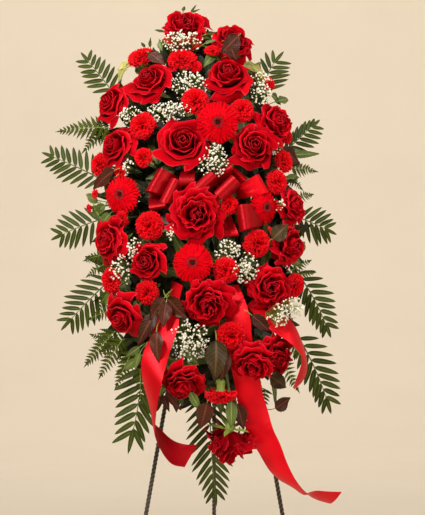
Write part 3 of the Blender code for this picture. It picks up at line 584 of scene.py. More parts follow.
def lathes(centres, axes, radius, profile, sides, tone, finish, wave=0.0):
    """Closed forms turned round an axis: rings of (height, reach) in units of the radius, each
    other point of a ring standing out by the wave, with a pole at either end."""
    profile = np.asarray(profile, float)
    n, m = len(centres), len(profile) - 2
    turn = np.linspace(0, FULL_TURN, sides, endpoint=False)
    reach = profile[1:-1, 1:] * (1 + wave * np.where(np.arange(sides) % 2, 1, -1))
    rings = polar(reach, turn, profile[1:-1, :1]).reshape(-1, 3)
    local = np.vstack((rings, (0, 0, profile[0, 0]), (0, 0, profile[-1, 0])))
    points = np.einsum("pk,nkc->npc", local, axes) * column(radius)
    index, after, walls = ring_walls(m, sides)
    low = np.stack((after[0], index[0], np.full(sides, m * sides)), -1)
    high = np.stack((index[-1], after[-1], np.full(sides, m * sides + 1)), -1)
    return run_of_forms(points + np.asarray(centres)[:, None], [walls, np.vstack((low, high))],
                        local[:, :2] * 0.5 + 0.5, growth_colours(n, m * sides + 2, tone), finish)


def blades(base, tip, normal, width, tone, finish, along, bend=0.10, fold=0.12, widest=0.75,
           teeth=0, across=5, thickness=0.0004, wave=0.0, sharp=0.9):
    """Leaves from base to tip: the half width follows sin(pi v^widest)^sharp times a taper.

    The blade bows by bend times (v^2 - 0.6 v) of its length. Its halves rise from the midrib by
    fold, and its edges wave with the sine of 9 v + 3 u. With teeth, every other station of the
    edge is drawn in by that share."""
    run = tip - base
    length = column(np.linalg.norm(run, axis=-1), 3)
    way = unit(run)
    normal = unit(normal - way * np.sum(normal * way, -1, keepdims=True))
    side = np.cross(way, normal)[:, None, None]
    u = np.linspace(-1, 1, across)[None, :, None, None]
    v = np.linspace(0, 1, along)[None, None, :, None]
    half = column(width, 3) / 2
    outline = np.sin(math.pi * v ** widest) ** sharp * (1 - 0.31 * sharp * v) + 0.035
    if teeth:
        tooth = np.where(np.arange(along) % 2, 0.0, 1.0)[None, None, :, None]
        outline = outline * (1 - teeth * np.abs(u) * tooth)
    reach = half * outline
    lift = (fold * np.abs(u) * reach - column(bend, 3) * length * (v ** 2 - 0.6 * v)
            + wave * half * np.sin(9 * v + 3 * u + column(tone, 3) * 6.0) * np.abs(u))
    points = (base[:, None, None] + run[:, None, None] * v + side * (u * reach)
              + normal[:, None, None] * lift)
    return skin(points, thickness, tone, finish)


# ---------------------------------------------------------------- meshes
FINISHES = {}


def make_piece(name, runs, body="arrangement", replaced=(), crease=48):
    """Join runs of forms in one object, moved into the shared frame, riding on a body."""
    firsts = np.cumsum([0] + [len(run["points"]) for run in runs])
    finishes = list(dict.fromkeys(run["finish"] for run in runs))
    loops, totals, slots = [], [], []
    for first, run in zip(firsts, runs):
        for faces in run["faces"]:
            loops.append((faces + first).reshape(-1))
            totals.append(np.full(len(faces), faces.shape[1]))
            slots.append(np.full(len(faces), finishes.index(run["finish"])))
    loops, totals, slots = (np.concatenate(rows).astype(np.int32)
                            for rows in (loops, totals, slots))
    points, uv, grown = (np.concatenate([run[key] for run in runs])
                         for key in ("points", "uv", "grown"))
    mesh = bpy.data.meshes.new(name)
    mesh.vertices.add(len(points))
    mesh.vertices.foreach_set("co", (points + SHIFT).astype(np.float32).ravel())
    mesh.loops.add(len(loops))
    mesh.loops.foreach_set("vertex_index", loops)
    mesh.polygons.add(len(totals))
    mesh.polygons.foreach_set("loop_start",
                              np.concatenate(([0], np.cumsum(totals)[:-1])).astype(np.int32))
    mesh.polygons.foreach_set("material_index", slots)
    mesh.update(calc_edges=True)
    mesh.uv_layers.new(name="UVMap").data.foreach_set("uv", uv[loops].astype(np.float32).ravel())
    colour = mesh.attributes.new("grown", "FLOAT_COLOR", "POINT")
    colour.data.foreach_set("color", grown.astype(np.float32).ravel())
    mesh.polygons.foreach_set("use_smooth", np.ones(len(totals), bool))
    if crease:
        mesh.set_sharp_from_angle(angle=math.radians(crease))
    for finish in finishes:
        mesh.materials.append(FINISHES[finish])
    made = bpy.data.objects.new(name, mesh)
    bpy.context.scene.collection.objects.link(made)
    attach(made, body)
    if replaced:
        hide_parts(*replaced)
    return made


def make_each(rows, ending, form, seed):
    """One piece for each row of a table, in place of the node that the row is named for."""
    for seed, (name, row) in enumerate(rows.items(), seed):
        make_piece(name + ending, form(*row, seed=seed), replaced=(name,))


def finish_nodes(finish, *nodes):
    """Give a finish to nodes of the frame that stay in sight."""
    for node in nodes:
        materials = frame["nodes"][node].data.materials
        materials.clear()
        materials.append(FINISHES[finish])


# ---------------------------------------------------------------- materials
def linear(code):
    """Linear RGBA of an sRGB hex colour."""
    channels = [int(code[i:i + 2], 16) / 255 for i in (1, 3, 5)]
    return tuple(c / 12.92 if c <= 0.04045 else ((c + 0.055) / 1.055) ** 2.4
                 for c in channels) + (1.0,)


def feed(node, inputs):
    """Set or link a node's inputs: a socket or a node's first output is linked, and a hex colour
    is turned to linear."""
    for key, value in inputs.items():
        if isinstance(value, bpy.types.Node):
            value = value.outputs[0]
        if isinstance(value, bpy.types.NodeSocket):
            node.id_data.links.new(value, node.inputs[key])
        else:
            node.inputs[key].default_value = linear(value) if isinstance(value, str) else value
    return node


def add_node(tree, kind, inputs=None, **settings):
    """Add a shader node, set its properties, and set or link its inputs."""
    made = tree.nodes.new("ShaderNode" + kind)
    for key, value in settings.items():
        setattr(made, key, value)
    return feed(made, inputs or {})


def new_material(name):
    """An empty node material: its tree and its Principled shader."""
    made = bpy.data.materials.new(name)
    made.use_nodes = True
    return made, made.node_tree, made.node_tree.nodes["Principled BSDF"]


def growth(tree):
    """The growth colour's channels: tone of the form, front or back, place in the flower."""
    read = add_node(tree, "Attribute", attribute_name="grown")
    return add_node(tree, "SeparateColor", {"Color": read}).outputs


def solid_noise(tree, scale, detail, roughness):
    """Noise through the solid, from Object coordinates."""
    solid = add_node(tree, "TexCoord").outputs["Object"]
    return add_node(tree, "TexNoise", {"Vector": solid, "Scale": scale, "Detail": detail,
                                       "Roughness": roughness})


def layered(tree, colour, *layers):
    """A colour with others laid over it in turn, each by its share."""
    for share, over in layers:
        colour = add_node(tree, "Mix", {0: share, 6: colour, 7: over},
                          data_type="RGBA").outputs[2]
    return colour


def surface_ways(tree):
    """The uv, v along the form, and the distance of u from the midrib at 0.5."""
    place = add_node(tree, "UVMap", uv_map="UVMap")
    u, v = add_node(tree, "SeparateXYZ", {0: place}).outputs[:2]
    side = add_node(tree, "Math", {0: u, 1: 0.5}, operation="SUBTRACT")
    return place, v, add_node(tree, "Math", {0: side}, operation="ABSOLUTE")


def dress(tree, shader, colour, height, strength, depth, patches, low, high):
    """Lead a colour, the bump of a height and a roughness that follows patches to the shader."""
    bump = add_node(tree, "Bump", {"Height": height, "Strength": strength, "Distance": depth})
    rough = add_node(tree, "MapRange", {"Value": patches, "To Min": low, "To Max": high})
    feed(shader, {"Base Color": colour, "Normal": bump, "Roughness": rough})


def petal_material(name, deep, mid, bright, rim, roughness, streaks, vein, inner, edge,
                   start=0.25):
    """Fresh petal: matt, velvety skin over streaks that run from base to rim.

    The colour rises from deep at the base over mid to bright at the rim: painted shade towards the
    base, where the petals shade each other, and a painted highlight towards the lit lips. The
    flower's inner petals are brighter by a share, painted light that lifts the shaded heart of the
    bloom; each petal's tone shifts it. The streaks are noise stretched along v. The last of the
    rim, in v and in u, takes the rim colour as a painted highlight along the edges. The back is
    deeper. Bump follows the streaks."""
    made, tree, shader = new_material(name)
    tone, back, depth = growth(tree)
    place, v, away = surface_ways(tree)
    spread = add_node(tree, "Mapping", {"Vector": place, "Scale": (streaks, 2.0, 1.0)})
    offset = add_node(tree, "VectorMath", {0: spread, 1: tone}, operation="ADD")
    veins = add_node(tree, "TexNoise",
                     {"Vector": offset, "Scale": 1.0, "Detail": 3.0, "Roughness": 0.6})
    patches = solid_noise(tree, 55.0, 2.0, 0.5)
    # painted shade and painted highlight: deep at the petal base, where the petals shade each
    # other, rising over mid to bright towards the lit lips
    rise = add_node(tree, "MapRange",
                    {"Value": v, "From Min": start, "From Max": start + 0.6, "To Max": 0.75},
                    interpolation_type="SMOOTHSTEP")
    share = add_node(tree, "Math", {0: patches, 1: 0.45, 2: rise}, operation="MULTIPLY_ADD",
                     use_clamp=True)
    # painted light: the inner petals are lifted towards bright, against the shade in the heart of
    # the bloom
    painted_centre_light = add_node(tree, "Math", {0: depth, 1: -inner, 2: inner}, operation="MULTIPLY_ADD")
    lift = add_node(tree, "Math", {0: tone, 1: 0.70, 2: painted_centre_light}, operation="MULTIPLY_ADD")
    lift = add_node(tree, "Math", {0: lift, 1: rise}, operation="MULTIPLY")
    lines = add_node(tree, "MapRange",
                     {"Value": veins, "From Min": 0.35, "From Max": 0.7, "To Max": vein})
    # painted highlight: a pale line of the rim colour along the last of the rim, in v and in u
    away = add_node(tree, "Math", {0: away, 1: 2.0}, operation="MULTIPLY")
    near = add_node(tree, "Math", {0: away, 1: v}, operation="MAXIMUM")
    painted_rim_highlight = add_node(tree, "MapRange",
                    {"Value": near, "From Min": 0.93, "From Max": 1.0, "To Max": edge},
                    interpolation_type="SMOOTHSTEP")
    painted_rim_highlight = add_node(tree, "Math", {0: painted_rim_highlight, 1: v}, operation="MULTIPLY")
    back = add_node(tree, "Math", {0: back, 1: 0.35}, operation="MULTIPLY")
    colour = layered(tree, deep, (share, mid), (lift, bright), (lines, deep), (painted_rim_highlight, rim),
                     (back, deep))
    dress(tree, shader, colour, veins, 0.25, 0.0006, veins, roughness - 0.08, roughness + 0.1)
    feed(shader, {"Specular IOR Level": 0.10, "Specular Tint": "#FF6A72"})
    return made


def leaf_material(name, deep, light, rib, roughness, gloss, veins=9.0, vein_share=0.35,
                  blush=None):
    """Cut foliage: waxy blade, paler midrib at u = 0.5 and side veins that slant to the tip.

    The side veins are a wave of v minus 0.45 of the distance from the midrib. A blush comes in
    as patches."""
    made, tree, shader = new_material(name)
    tone = growth(tree)[0]
    _, v, away = surface_ways(tree)
    slant = add_node(tree, "Math", {0: away, 1: -0.45, 2: v}, operation="MULTIPLY_ADD")
    ripple = add_node(tree, "Math", {0: slant, 1: veins * FULL_TURN}, operation="MULTIPLY")
    ripple = add_node(tree, "Math", {0: ripple}, operation="SINE")
    side = add_node(tree, "MapRange",
                    {"Value": ripple, "From Min": 0.72, "From Max": 1.0, "To Max": vein_share})
    middle = add_node(tree, "MapRange", {"Value": away, "From Min": 0.02, "From Max": 0.075,
                                         "To Min": 0.85, "To Max": 0.0})
    lines = add_node(tree, "Math", {0: side, 1: middle}, operation="MAXIMUM")
    patches = solid_noise(tree, 60.0, 4.0, 0.6)
    share = add_node(tree, "Math", {0: tone, 1: 0.6, 2: 0.0}, operation="MULTIPLY_ADD")
    share = add_node(tree, "Math", {0: patches, 1: 0.7, 2: share}, operation="MULTIPLY_ADD")
    layers = [(share, light)]
    if blush:
        spots = add_node(tree, "MapRange",
                         {"Value": patches, "From Min": 0.45, "From Max": 0.7, "To Max": 0.8})
        layers.append((spots, blush))
    dress(tree, shader, layered(tree, deep, *layers, (lines, rib)), lines, 0.35, 0.0006, patches,
          roughness - 0.07, roughness + 0.12)
    feed(shader, {"Specular IOR Level": gloss})
    return made


def solid_material(name, dark, light, roughness, scale, depth, detail=4.0, crest_highlight=None):
    """A skin with grain in the solid: noise at the given scale shifts colour, gloss and height.
    A crest highlight colour comes in with the tone of the growth colour: a painted highlight."""
    made, tree, shader = new_material(name)
    grain = solid_noise(tree, scale, detail, 0.6)
    colour = layered(tree, dark, (grain, light))
    if crest_highlight:
        colour = layered(tree, colour, (growth(tree)[0], crest_highlight))
    dress(tree, shader, colour, grain, 0.5, depth, grain, roughness - 0.075, roughness + 0.075)
    return made


def satin_material(name, base, deep, glow, inside):
    """Polyester satin ribbon: long floats lie across the ribbon, so it shines softly along it.

    Warp threads of 0.25 mm are drawn as 0.6 mm ribs along v so that they show. A slow noise
    gives the handling creases. The shine takes the dye's colour, as light runs through the
    filaments. The back has a colour of its own."""
    made, tree, shader = new_material(name)
    place = add_node(tree, "UVMap", uv_map="UVMap")
    weave = add_node(tree, "TexWave",
                     {"Vector": place, "Scale": 30.0, "Distortion": 0.3, "Detail": 1.0},
                     bands_direction="X")
    creases = solid_noise(tree, 14.0, 2.0, 0.5)
    share = add_node(tree, "MapRange", {"Value": creases, "From Min": 0.2, "From Max": 0.6})
    back = add_node(tree, "Math", {0: growth(tree)[1], 1: 0.90}, operation="MULTIPLY")
    height = add_node(tree, "Math", {0: creases, 1: 4.0, 2: weave.outputs["Fac"]},
                      operation="MULTIPLY_ADD")
    bump = add_node(tree, "Bump", {"Height": height, "Strength": 0.12, "Distance": 0.0005})
    feed(shader, {"Base Color": layered(tree, deep, (share, base), (back, inside)),
                  "Normal": bump, "Metallic": 0.30, "Roughness": 0.34, "Anisotropic": 0.4,
                  "Specular IOR Level": 0.9, "Specular Tint": glow})
    return made


# solid finishes: material, dark and light colour, roughness, scale and depth of the grain
SOLIDS = {
    # closely packed florets swallow the light; filaments are paler threads round them
    "eye": ("gerbera_disc_florets", "#120607", "#3A1013", 0.6, 900.0, 0.0006),
    "filament": ("gerbera_filaments", "#4A0C10", "#8A3A38", 0.55, 700.0, 0.0003),
    # papery white petals without gloss
    "floret": ("babys_breath_floret", "#DAD5BE", "#FBF8EC", 0.65, 400.0, 0.0005),
    # smooth green bark with a thin wax
    "stem": ("green_stem", "#36451A", "#66783A", 0.5, 180.0, 0.0003),
    "calyx": ("calyx_green", "#546A20", "#8FA344", 0.5, 220.0, 0.0003),
    # sprayed paint on drawn bar, and dipped vinyl: a soft sheen that hardly varies
    "bar": ("black_painted_bar", "#100E0D", "#241F1C", 0.40, 300.0, 0.00015),
    "vinyl": ("black_vinyl_tip", "#0A0A0A", "#1C1B1A", 0.55, 500.0, 0.0002),
    # moulded plastics: even colour, fine texture of the mould
    "tray": ("moulded_polypropylene_tray", "#153A20", "#235A33", 0.42, 350.0, 0.0001),
    "tie": ("moulded_nylon_tie", "#1A2A1C", "#2C4630", 0.38, 400.0, 0.0001),
    # phenolic foam: open cells of about 0.3 mm, drawn as 1 mm grains so that they show
    "foam": ("wet_phenolic_foam", "#1E3A22", "#47683F", 0.92, 1000.0, 0.0010),
    # matt paper: only a slow drift of its tone
    "sweep": ("matt_seamless_paper", "#E3D7C3", "#EADFCC", 0.9, 1.2, 0.0001, 2.0),
}


def all_materials(colours):
    """Every finish of the spray, by a short name."""
    rose, gerbera, carnation, satin, palm, brown = (
        tuple(getattr(colours, key)) for key in ("rose", "gerbera", "carnation", "satin", "palm",
                                                 "brown_leaf"))
    made = {key: solid_material(*row) for key, row in SOLIDS.items()}
    made.update({
        # the black paint is painted paler on the crests of the twist: a painted highlight where the
        # outside of each wire catches the light
        "wire": solid_material("black_painted_wire", "#0A0806", "#221D17", 0.40, 240.0, 0.0002,
                               crest_highlight="#5C5246"),
        # the petal finishes carry painted shade at their bases and painted highlights towards and
        # along their rims; the roses' inner petals are also painted lighter
        "rose": petal_material("rose_petal_velvet", "#74000A", rose, "#DE0618", "#D4485A", 0.62,
                               22.0, 0.30, inner=0.60, edge=0.36, start=0.40),
        "gerbera": petal_material("gerbera_ray_petal", "#9C0008", gerbera, "#F80A20", "#E01020",
                                  0.50, 7.0, 0.45, inner=0.0, edge=0.35),
        "carnation": petal_material("carnation_petal", "#B0000C", carnation, "#FB1420",
                                    "#FF4452", 0.60, 12.0, 0.12, inner=0.1, edge=0.4),
        "palm": leaf_material("palm_leaflet", palm, "#404C18", "#606C30", 0.46, 0.12, veins=0.0,
                              vein_share=0.0),
        "fern": leaf_material("fern_pinna", "#202A04", "#424E0E", "#54621A", 0.50, 0.12,
                              veins=7.0),
        "pale_leaf": leaf_material("pale_turning_leaf", "#7A7A38", "#B4AE62", "#CCC684", 0.50,
                                   0.3),
        "brown_leaf": leaf_material("red_rose_foliage", brown, "#4C1C12", "#6C3A26", 0.36, 0.16,
                                    vein_share=0.5, blush="#2E240E"),
        "bronze_leaf": leaf_material("bronze_rose_foliage", "#181404", "#3C2A10", "#644826",
                                     0.34, 0.22, vein_share=0.5, blush="#262C0E"),
        "green_leaf": leaf_material("rose_foliage", "#27360F", "#566B24", "#8C9A58", 0.38, 0.4),
        # near-black foliage: partly the leaves' own dark green, partly painted shade, darkened to
        # stand for the shade in the gaps between the flowers
        "dark_leaf_and_painted_shade": leaf_material("salal_foliage_and_painted_shade", "#0A0E04", "#20280E", "#3A401C", 0.42, 0.25,
                                   blush="#1C0D09"),
        "satin": satin_material("polyester_satin", satin, "#AE0210", "#FF666A", "#8E020C"),
    })
    return made


# ---------------------------------------------------------------- stems
def foam_entry(outside, aim):
    """Where the line from an outside point to a point in the foam meets the foam's skin."""
    start, run = to_frame(outside), to_frame(aim) - to_frame(outside)
    near = np.where(run > 0, FOAM_LOW, FOAM_HIGH)
    moving = np.abs(run) > 1e-9
    share = np.max((near[moving] - start[moving]) / run[moving])
    return outside + (aim - outside) * max(share, 0.0)


def stem_path(base, ahead, depth_share=None, neck=0.30):
    """Points of a stem: straight in the foam, then one quadratic curve to the head's back."""
    local = to_frame(base)
    if depth_share is None:
        depth_share = min(0.80, max(0.34, (local[2] - 0.08) / 0.13))
    aim = frame_point(local[0] * 0.20, FOAM_CENTRE + (local[1] - FOAM_CENTRE) * 0.42,
                      FOAM_BACK + FOAM_DEPTH * depth_share)
    elbow = base - ahead * (np.linalg.norm(base - aim) * neck)
    entry = foam_entry(elbow, aim)
    inward = unit(aim - elbow)
    return np.vstack((entry + inward * STEM_DEPTH, bent(entry - inward * 0.012, elbow, base, 9)))


# ---------------------------------------------------------------- roses
# how the petals of a rose of radius 1 change from the bud to the guard petals: share, radius and
# height of the lip, radius and height of the crest, radius and height of the belly, half angle
# in degrees, roll of the sides
ROSE_PROFILE = (
    (0.00, 0.05, 0.54, 0.06, 0.46, 0.17, -0.10, 112, 0.00),
    (0.15, 0.15, 0.55, 0.13, 0.54, 0.29, -0.12, 96, 0.04),
    (0.30, 0.29, 0.50, 0.22, 0.58, 0.42, -0.12, 84, 0.12),
    (0.50, 0.50, 0.36, 0.38, 0.54, 0.58, -0.08, 73, 0.18),
    (0.70, 0.74, 0.15, 0.58, 0.42, 0.70, -0.02, 64, 0.22),
    (0.85, 0.93, -0.08, 0.76, 0.22, 0.76, 0.02, 58, 0.22),
    (1.00, 1.08, -0.34, 0.92, -0.04, 0.80, 0.00, 54, 0.20),
)

HEART_TURN = 2.094                 # a bloom's hearts stand a third of a turn apart

# number of petals, how far the bloom has opened, width of the petals, ruffle of their rims,
# how far the hearts of the bloom stand from its axis, how unevenly its petals end
ROSE_STYLES = {
    "open": (18, 1.00, 1.14, 1.3, 0.04, 1.0),
    "full": (32, 1.00, 0.84, 1.7, 0.17, 1.2),
    "ball": (36, 0.88, 0.78, 2.0, 0.15, 1.2),
    "hung": (58, 1.00, 0.50, 2.4, 0.20, 2.4),
}


def rose_petals(rng, style):
    """Petals of one rose of radius 1 that looks along +Z, as grids (petals, 13, 11).

    Petals stand on a golden-angle spiral from the bud outwards. In the plane through the axis
    each is a cubic curve from the receptacle over belly and crest to its lip, all read from the
    profile. Round the axis it spans its half angle times u, and flattens as 1 / cos. The lip
    comes to a point in the middle and rolls outwards at the sides; one side stands out and the
    other in, so that neighbours overlap like a pinwheel. A crease and sines of u make the lip
    wave. Every petal leans a little on its own, and the inner ones gather round up to three
    hearts.
    """
    count, opening, breadth, ruffle, hearts, uneven = ROSE_STYLES[style]
    index = np.arange(count)
    depth = (index / (count - 1)) ** 0.78
    table = np.array(ROSE_PROFILE)
    lip_r, lip_z, crest_r, crest_z, belly_r, belly_z, half, roll = (
        column(np.interp(depth * opening, table[:, 0], table[:, i])) for i in range(1, 9))
    grow = 1.0 / np.interp(opening, table[:, 0], table[:, 1])

    def vary(low, high, power=1.0):
        return column(rng.uniform(low, high, count) * depth ** power)

    turn = column(index * GOLDEN_ANGLE + rng.uniform(0, ANY_TURN) + rng.normal(0, 0.13, count))
    outer = column(depth)
    lip_r = lip_r * (1 + uneven * vary(-0.14, 0.06, 0.5))
    lip_z = lip_z + uneven * vary(-0.10, 0.14)
    half = np.radians(half * breadth) * (1 + vary(-0.12, 0.14, 0.5))
    u = np.linspace(-1, 1, 13)[None, :, None]
    v = np.linspace(0, 1, 11)[None, None, :]
    point = 0.045 * np.exp(-(u / 0.22) ** 2) * outer
    s = v * (1 - (0.12 + 0.14 * outer) * np.abs(u) ** 3.0 + point)
    # petals of a bloom that has opened unevenly end at different heights
    short = column(np.random.default_rng(count).random(count))
    s = s * (1 - 0.22 * (uneven - 1) * short * outer)
    one = 1 - s
    bell = (one ** 3, 3 * s * one ** 2, 3 * s ** 2 * one, s ** 3)
    r = 0.08 * bell[0] + belly_r * bell[1] + crest_r * bell[2] + lip_r * bell[3]
    z = -0.66 * bell[0] + belly_z * bell[1] + crest_z * bell[2] + lip_z * bell[3]
    rise = smooth_step((v - 0.35) / 0.65)
    curl = roll * ruffle ** 0.5 * (1 + vary(-0.6, 0.8)) * rise ** 1.5 * np.abs(u) ** 2.2
    flat = 1 + 0.22 * (1 / np.cos(np.clip(half * u, -1.0, 1.0)) - 1) * outer * rise
    r = r * flat * (1 + (0.10 + 0.05 * ruffle * outer) * u) + 0.25 * curl
    z = z - 0.85 * curl
    crease = vary(-1.0, 1.0, 0.3) * np.exp(-((u - vary(-0.5, 0.5, 0.2)) / 0.22) ** 2)
    phase = column(rng.uniform(0, ANY_TURN, count))
    wave = np.sin(3.6 * u + phase) + 0.7 * crease
    fine = np.sin(8.5 * u + 2.3 * phase)
    r = r + ruffle * (0.015 + 0.030 * outer) * fine * rise * v
    z = z + ruffle * (0.02 + 0.055 * outer) * wave * rise
    spread = 0.40 + 0.60 * np.sin(math.pi / 2 * np.minimum(1, v / 0.60))
    points = polar(r, turn - u * half * spread, z) * grow
    lean = rng.normal(0, 0.035 * ruffle, (count, 1, 1, 2)) * outer[..., None]
    points[..., :2] += lean * (points[..., 2:] + 0.66)
    side = (rng.uniform(0, ANY_TURN) + rng.integers(0, 3, count) * HEART_TURN
            + rng.normal(0, 0.3, count))
    heart = polar(hearts * (1 - depth) ** 0.5, side, 0.0)
    points += heart[:, None, None] * rise[..., None]
    return points, depth


def rose_parts(place, radius, facing, style, seed):
    """Petals, five sepals, the hip under them and the stem of one rose."""
    rng = np.random.default_rng(seed)
    ahead = facing_vector(facing)
    axes = head_axes(ahead)
    centre = spray_points(place) + ahead * (0.12 * radius)
    points, depth = rose_petals(rng, style)
    petals = skin(points @ axes * (1.06 * radius) + centre, 0.0006, rng.random(len(points)),
                  "rose", depth)
    out = polar(1.0, np.arange(5) / 5 * FULL_TURN + rng.uniform(0, 1), 0.0)
    low = out * 0.16 + (0, 0, -0.74)
    high = out * (0.86 if style == "hung" else 0.66) + (0, 0, -0.92)
    high = high + rng.uniform(-0.08, 0.08, (5, 3))
    sepals = blades(low @ axes * radius + centre, high @ axes * radius + centre,
                    out @ axes * 0.3 - ahead, 0.24 * radius, rng.random(5), "calyx", bend=0.15,
                    fold=0.2, along=6, thickness=0.0005)
    profile = ((-1.02, 0.0), (-1.0, 0.07), (-0.90, 0.17), (-0.74, 0.20), (-0.60, 0.12),
               (-0.55, 0.0))
    hip = lathes([centre], axes[None], radius, profile, 12, 0.5, "calyx")
    path = np.vstack((stem_path(centre - ahead * (1.12 * radius), ahead),
                      centre - ahead * (0.98 * radius)))
    return [petals, sepals, hip, tubes(path[None], 0.0030, 8, 0.5, "stem")]


# ---------------------------------------------------------------- carnations
def carnation_petals(rng, count, spread):
    """Fringed petals of one carnation of radius 1 looking along +Z, as grids (petals, 9, 6).

    Tips stand on a golden-angle spiral over a flat dome. Each petal is a fan from the mouth of
    the calyx to its tip, turned about its own length by a random angle. Its sides spread with
    v, its last third bends outwards over the dome, its rim is a zigzag of v, and it ruffles by
    a sine of u that grows with v."""
    k = np.arange(count) + 0.5
    tilt = np.radians(spread) * np.sqrt(k / count) + rng.uniform(-0.06, 0.06, count)
    turn = k * GOLDEN_ANGLE + rng.uniform(-0.1, 0.1, count)
    reach = 1.04 * (1 + rng.uniform(-0.10, 0.05, count))
    flat = polar(1.0, turn, 0.0)
    tip = flat * (np.sin(tilt) * reach)[:, None]
    tip[:, 2] = np.cos(tilt) * reach * 0.55
    base = flat * (0.12 * np.sin(tilt))[:, None] + (0, 0, -0.48)
    way = unit(tip - base)
    around = unit(np.cross((0.0, 0.0, 1.0), flat))
    twist = rng.normal(0, 0.55, count)[:, None]
    across = around * np.cos(twist) + np.cross(way, around) * np.sin(twist)
    square = np.cross(way, across)
    square = square * np.where(np.sum(square * flat, -1, keepdims=True) < 0, -1.0, 1.0)
    phase = column(rng.uniform(0, ANY_TURN, count), 3)
    u = np.linspace(-1, 1, 9)[None, :, None, None]
    v = np.linspace(0, 1, 6)[None, None, :, None]
    last = smooth_step((v - 0.55) / 0.45)
    zigzag = 1 - 0.11 * (np.arange(9) % 2)[None, :, None, None] * last
    s = v * zigzag * (1 - 0.14 * u ** 2)
    width = 0.06 + 0.36 * v ** 1.2
    frill = 0.095 * np.sin(2.4 * math.pi * u + phase) * v ** 1.8
    fold = 0.17 * last * column(rng.uniform(0.3, 1.0, count), 3)
    bow = 0.10 * np.sin(math.pi * v) * column(np.sin(tilt), 3)
    points = (base[:, None, None] + (tip - base)[:, None, None] * s
              + across[:, None, None] * (u * width) + square[:, None, None] * (frill + fold)
              + np.array((0.0, 0.0, 1.0)) * (bow - 0.3 * fold))
    return points, k / count


CARNATION_CALYX = ((-1.20, 0.0), (-1.18, 0.14), (-1.08, 0.26), (-0.85, 0.29), (-0.50, 0.27),
                   (-0.36, 0.34), (-0.30, 0.0))


def carnation_head(place, radius, facing, rng, open_share=1.0):
    """Petals, calyx tube and four small bracts of one carnation, or of a bud part open."""
    centre = spray_points(place)
    ahead = facing_vector(facing)
    spin = rng.uniform(0, ANY_TURN)
    turned = np.array(((math.cos(spin), math.sin(spin), 0), (-math.sin(spin), math.cos(spin), 0),
                       (0, 0, 1))) @ head_axes(ahead)
    count = 66 if radius > 0.02 else 36
    points, depth = carnation_petals(rng, int(count * open_share ** 0.5), 100.0 * open_share)
    petals = skin(points @ turned * (radius * 1.02) + centre, 0.0004, rng.random(len(points)),
                  "carnation", depth)
    calyx = lathes([centre], turned[None], radius, CARNATION_CALYX, 10, 0.5, "calyx", 0.03)
    out = polar(1.0, np.arange(4) / 4 * FULL_TURN, 0.0)
    low = (out * 0.24 + (0, 0, -1.12)) @ turned * radius + centre
    high = (out * 0.36 + (0, 0, -0.82)) @ turned * radius + centre
    bracts = blades(low, high, out @ turned, 0.26 * radius, rng.random(4), "calyx", along=4,
                    across=3, thickness=0.0004)
    return [petals, calyx, bracts], centre - ahead * (1.17 * radius), ahead


def carnation_spray_parts(*heads, seed):
    """Several heads on one stem: the middlemost stands on the stem, and branches run from a
    fork of it to the others, each with a node."""
    rng = np.random.default_rng(seed)
    parts, feet = [], []
    for place, radius, facing in heads:
        head, foot, ahead = carnation_head(place, radius, facing, rng)
        parts += head
        feet.append((foot, ahead))
    middle = sum(foot for foot, _ in feet) / len(feet)
    lead = min(range(len(feet)), key=lambda i: np.linalg.norm(feet[i][0] - middle))
    path = stem_path(*feet[lead])
    parts.append(tubes(path[None], 0.0023, 7, 0.5, "stem"))
    fork = path[1] * 0.5 + path[4] * 0.5
    for foot, ahead in feet[:lead] + feet[lead + 1:]:
        elbow = foot - ahead * (np.linalg.norm(foot - fork) * 0.30)
        branch = bent(fork, elbow, foot, 8)
        parts.append(tubes(branch[None], 0.0019, 7, 0.5, "stem"))
        parts.append(tubes(branch[None, 4:6], 0.0028, 7, 0.3, "calyx"))
    return parts


# ---------------------------------------------------------------- gerberas
# rays, their length, how high they stand, how far each whorl is turned
GERBERA_WHORLS = ((30, 1.00, -0.10, 0.0), (30, 0.97, -0.01, 0.5), (28, 0.76, 0.08, 0.2),
                  (24, 0.54, 0.14, 0.7))
EYE_FLORETS, FILAMENTS = 90, 170


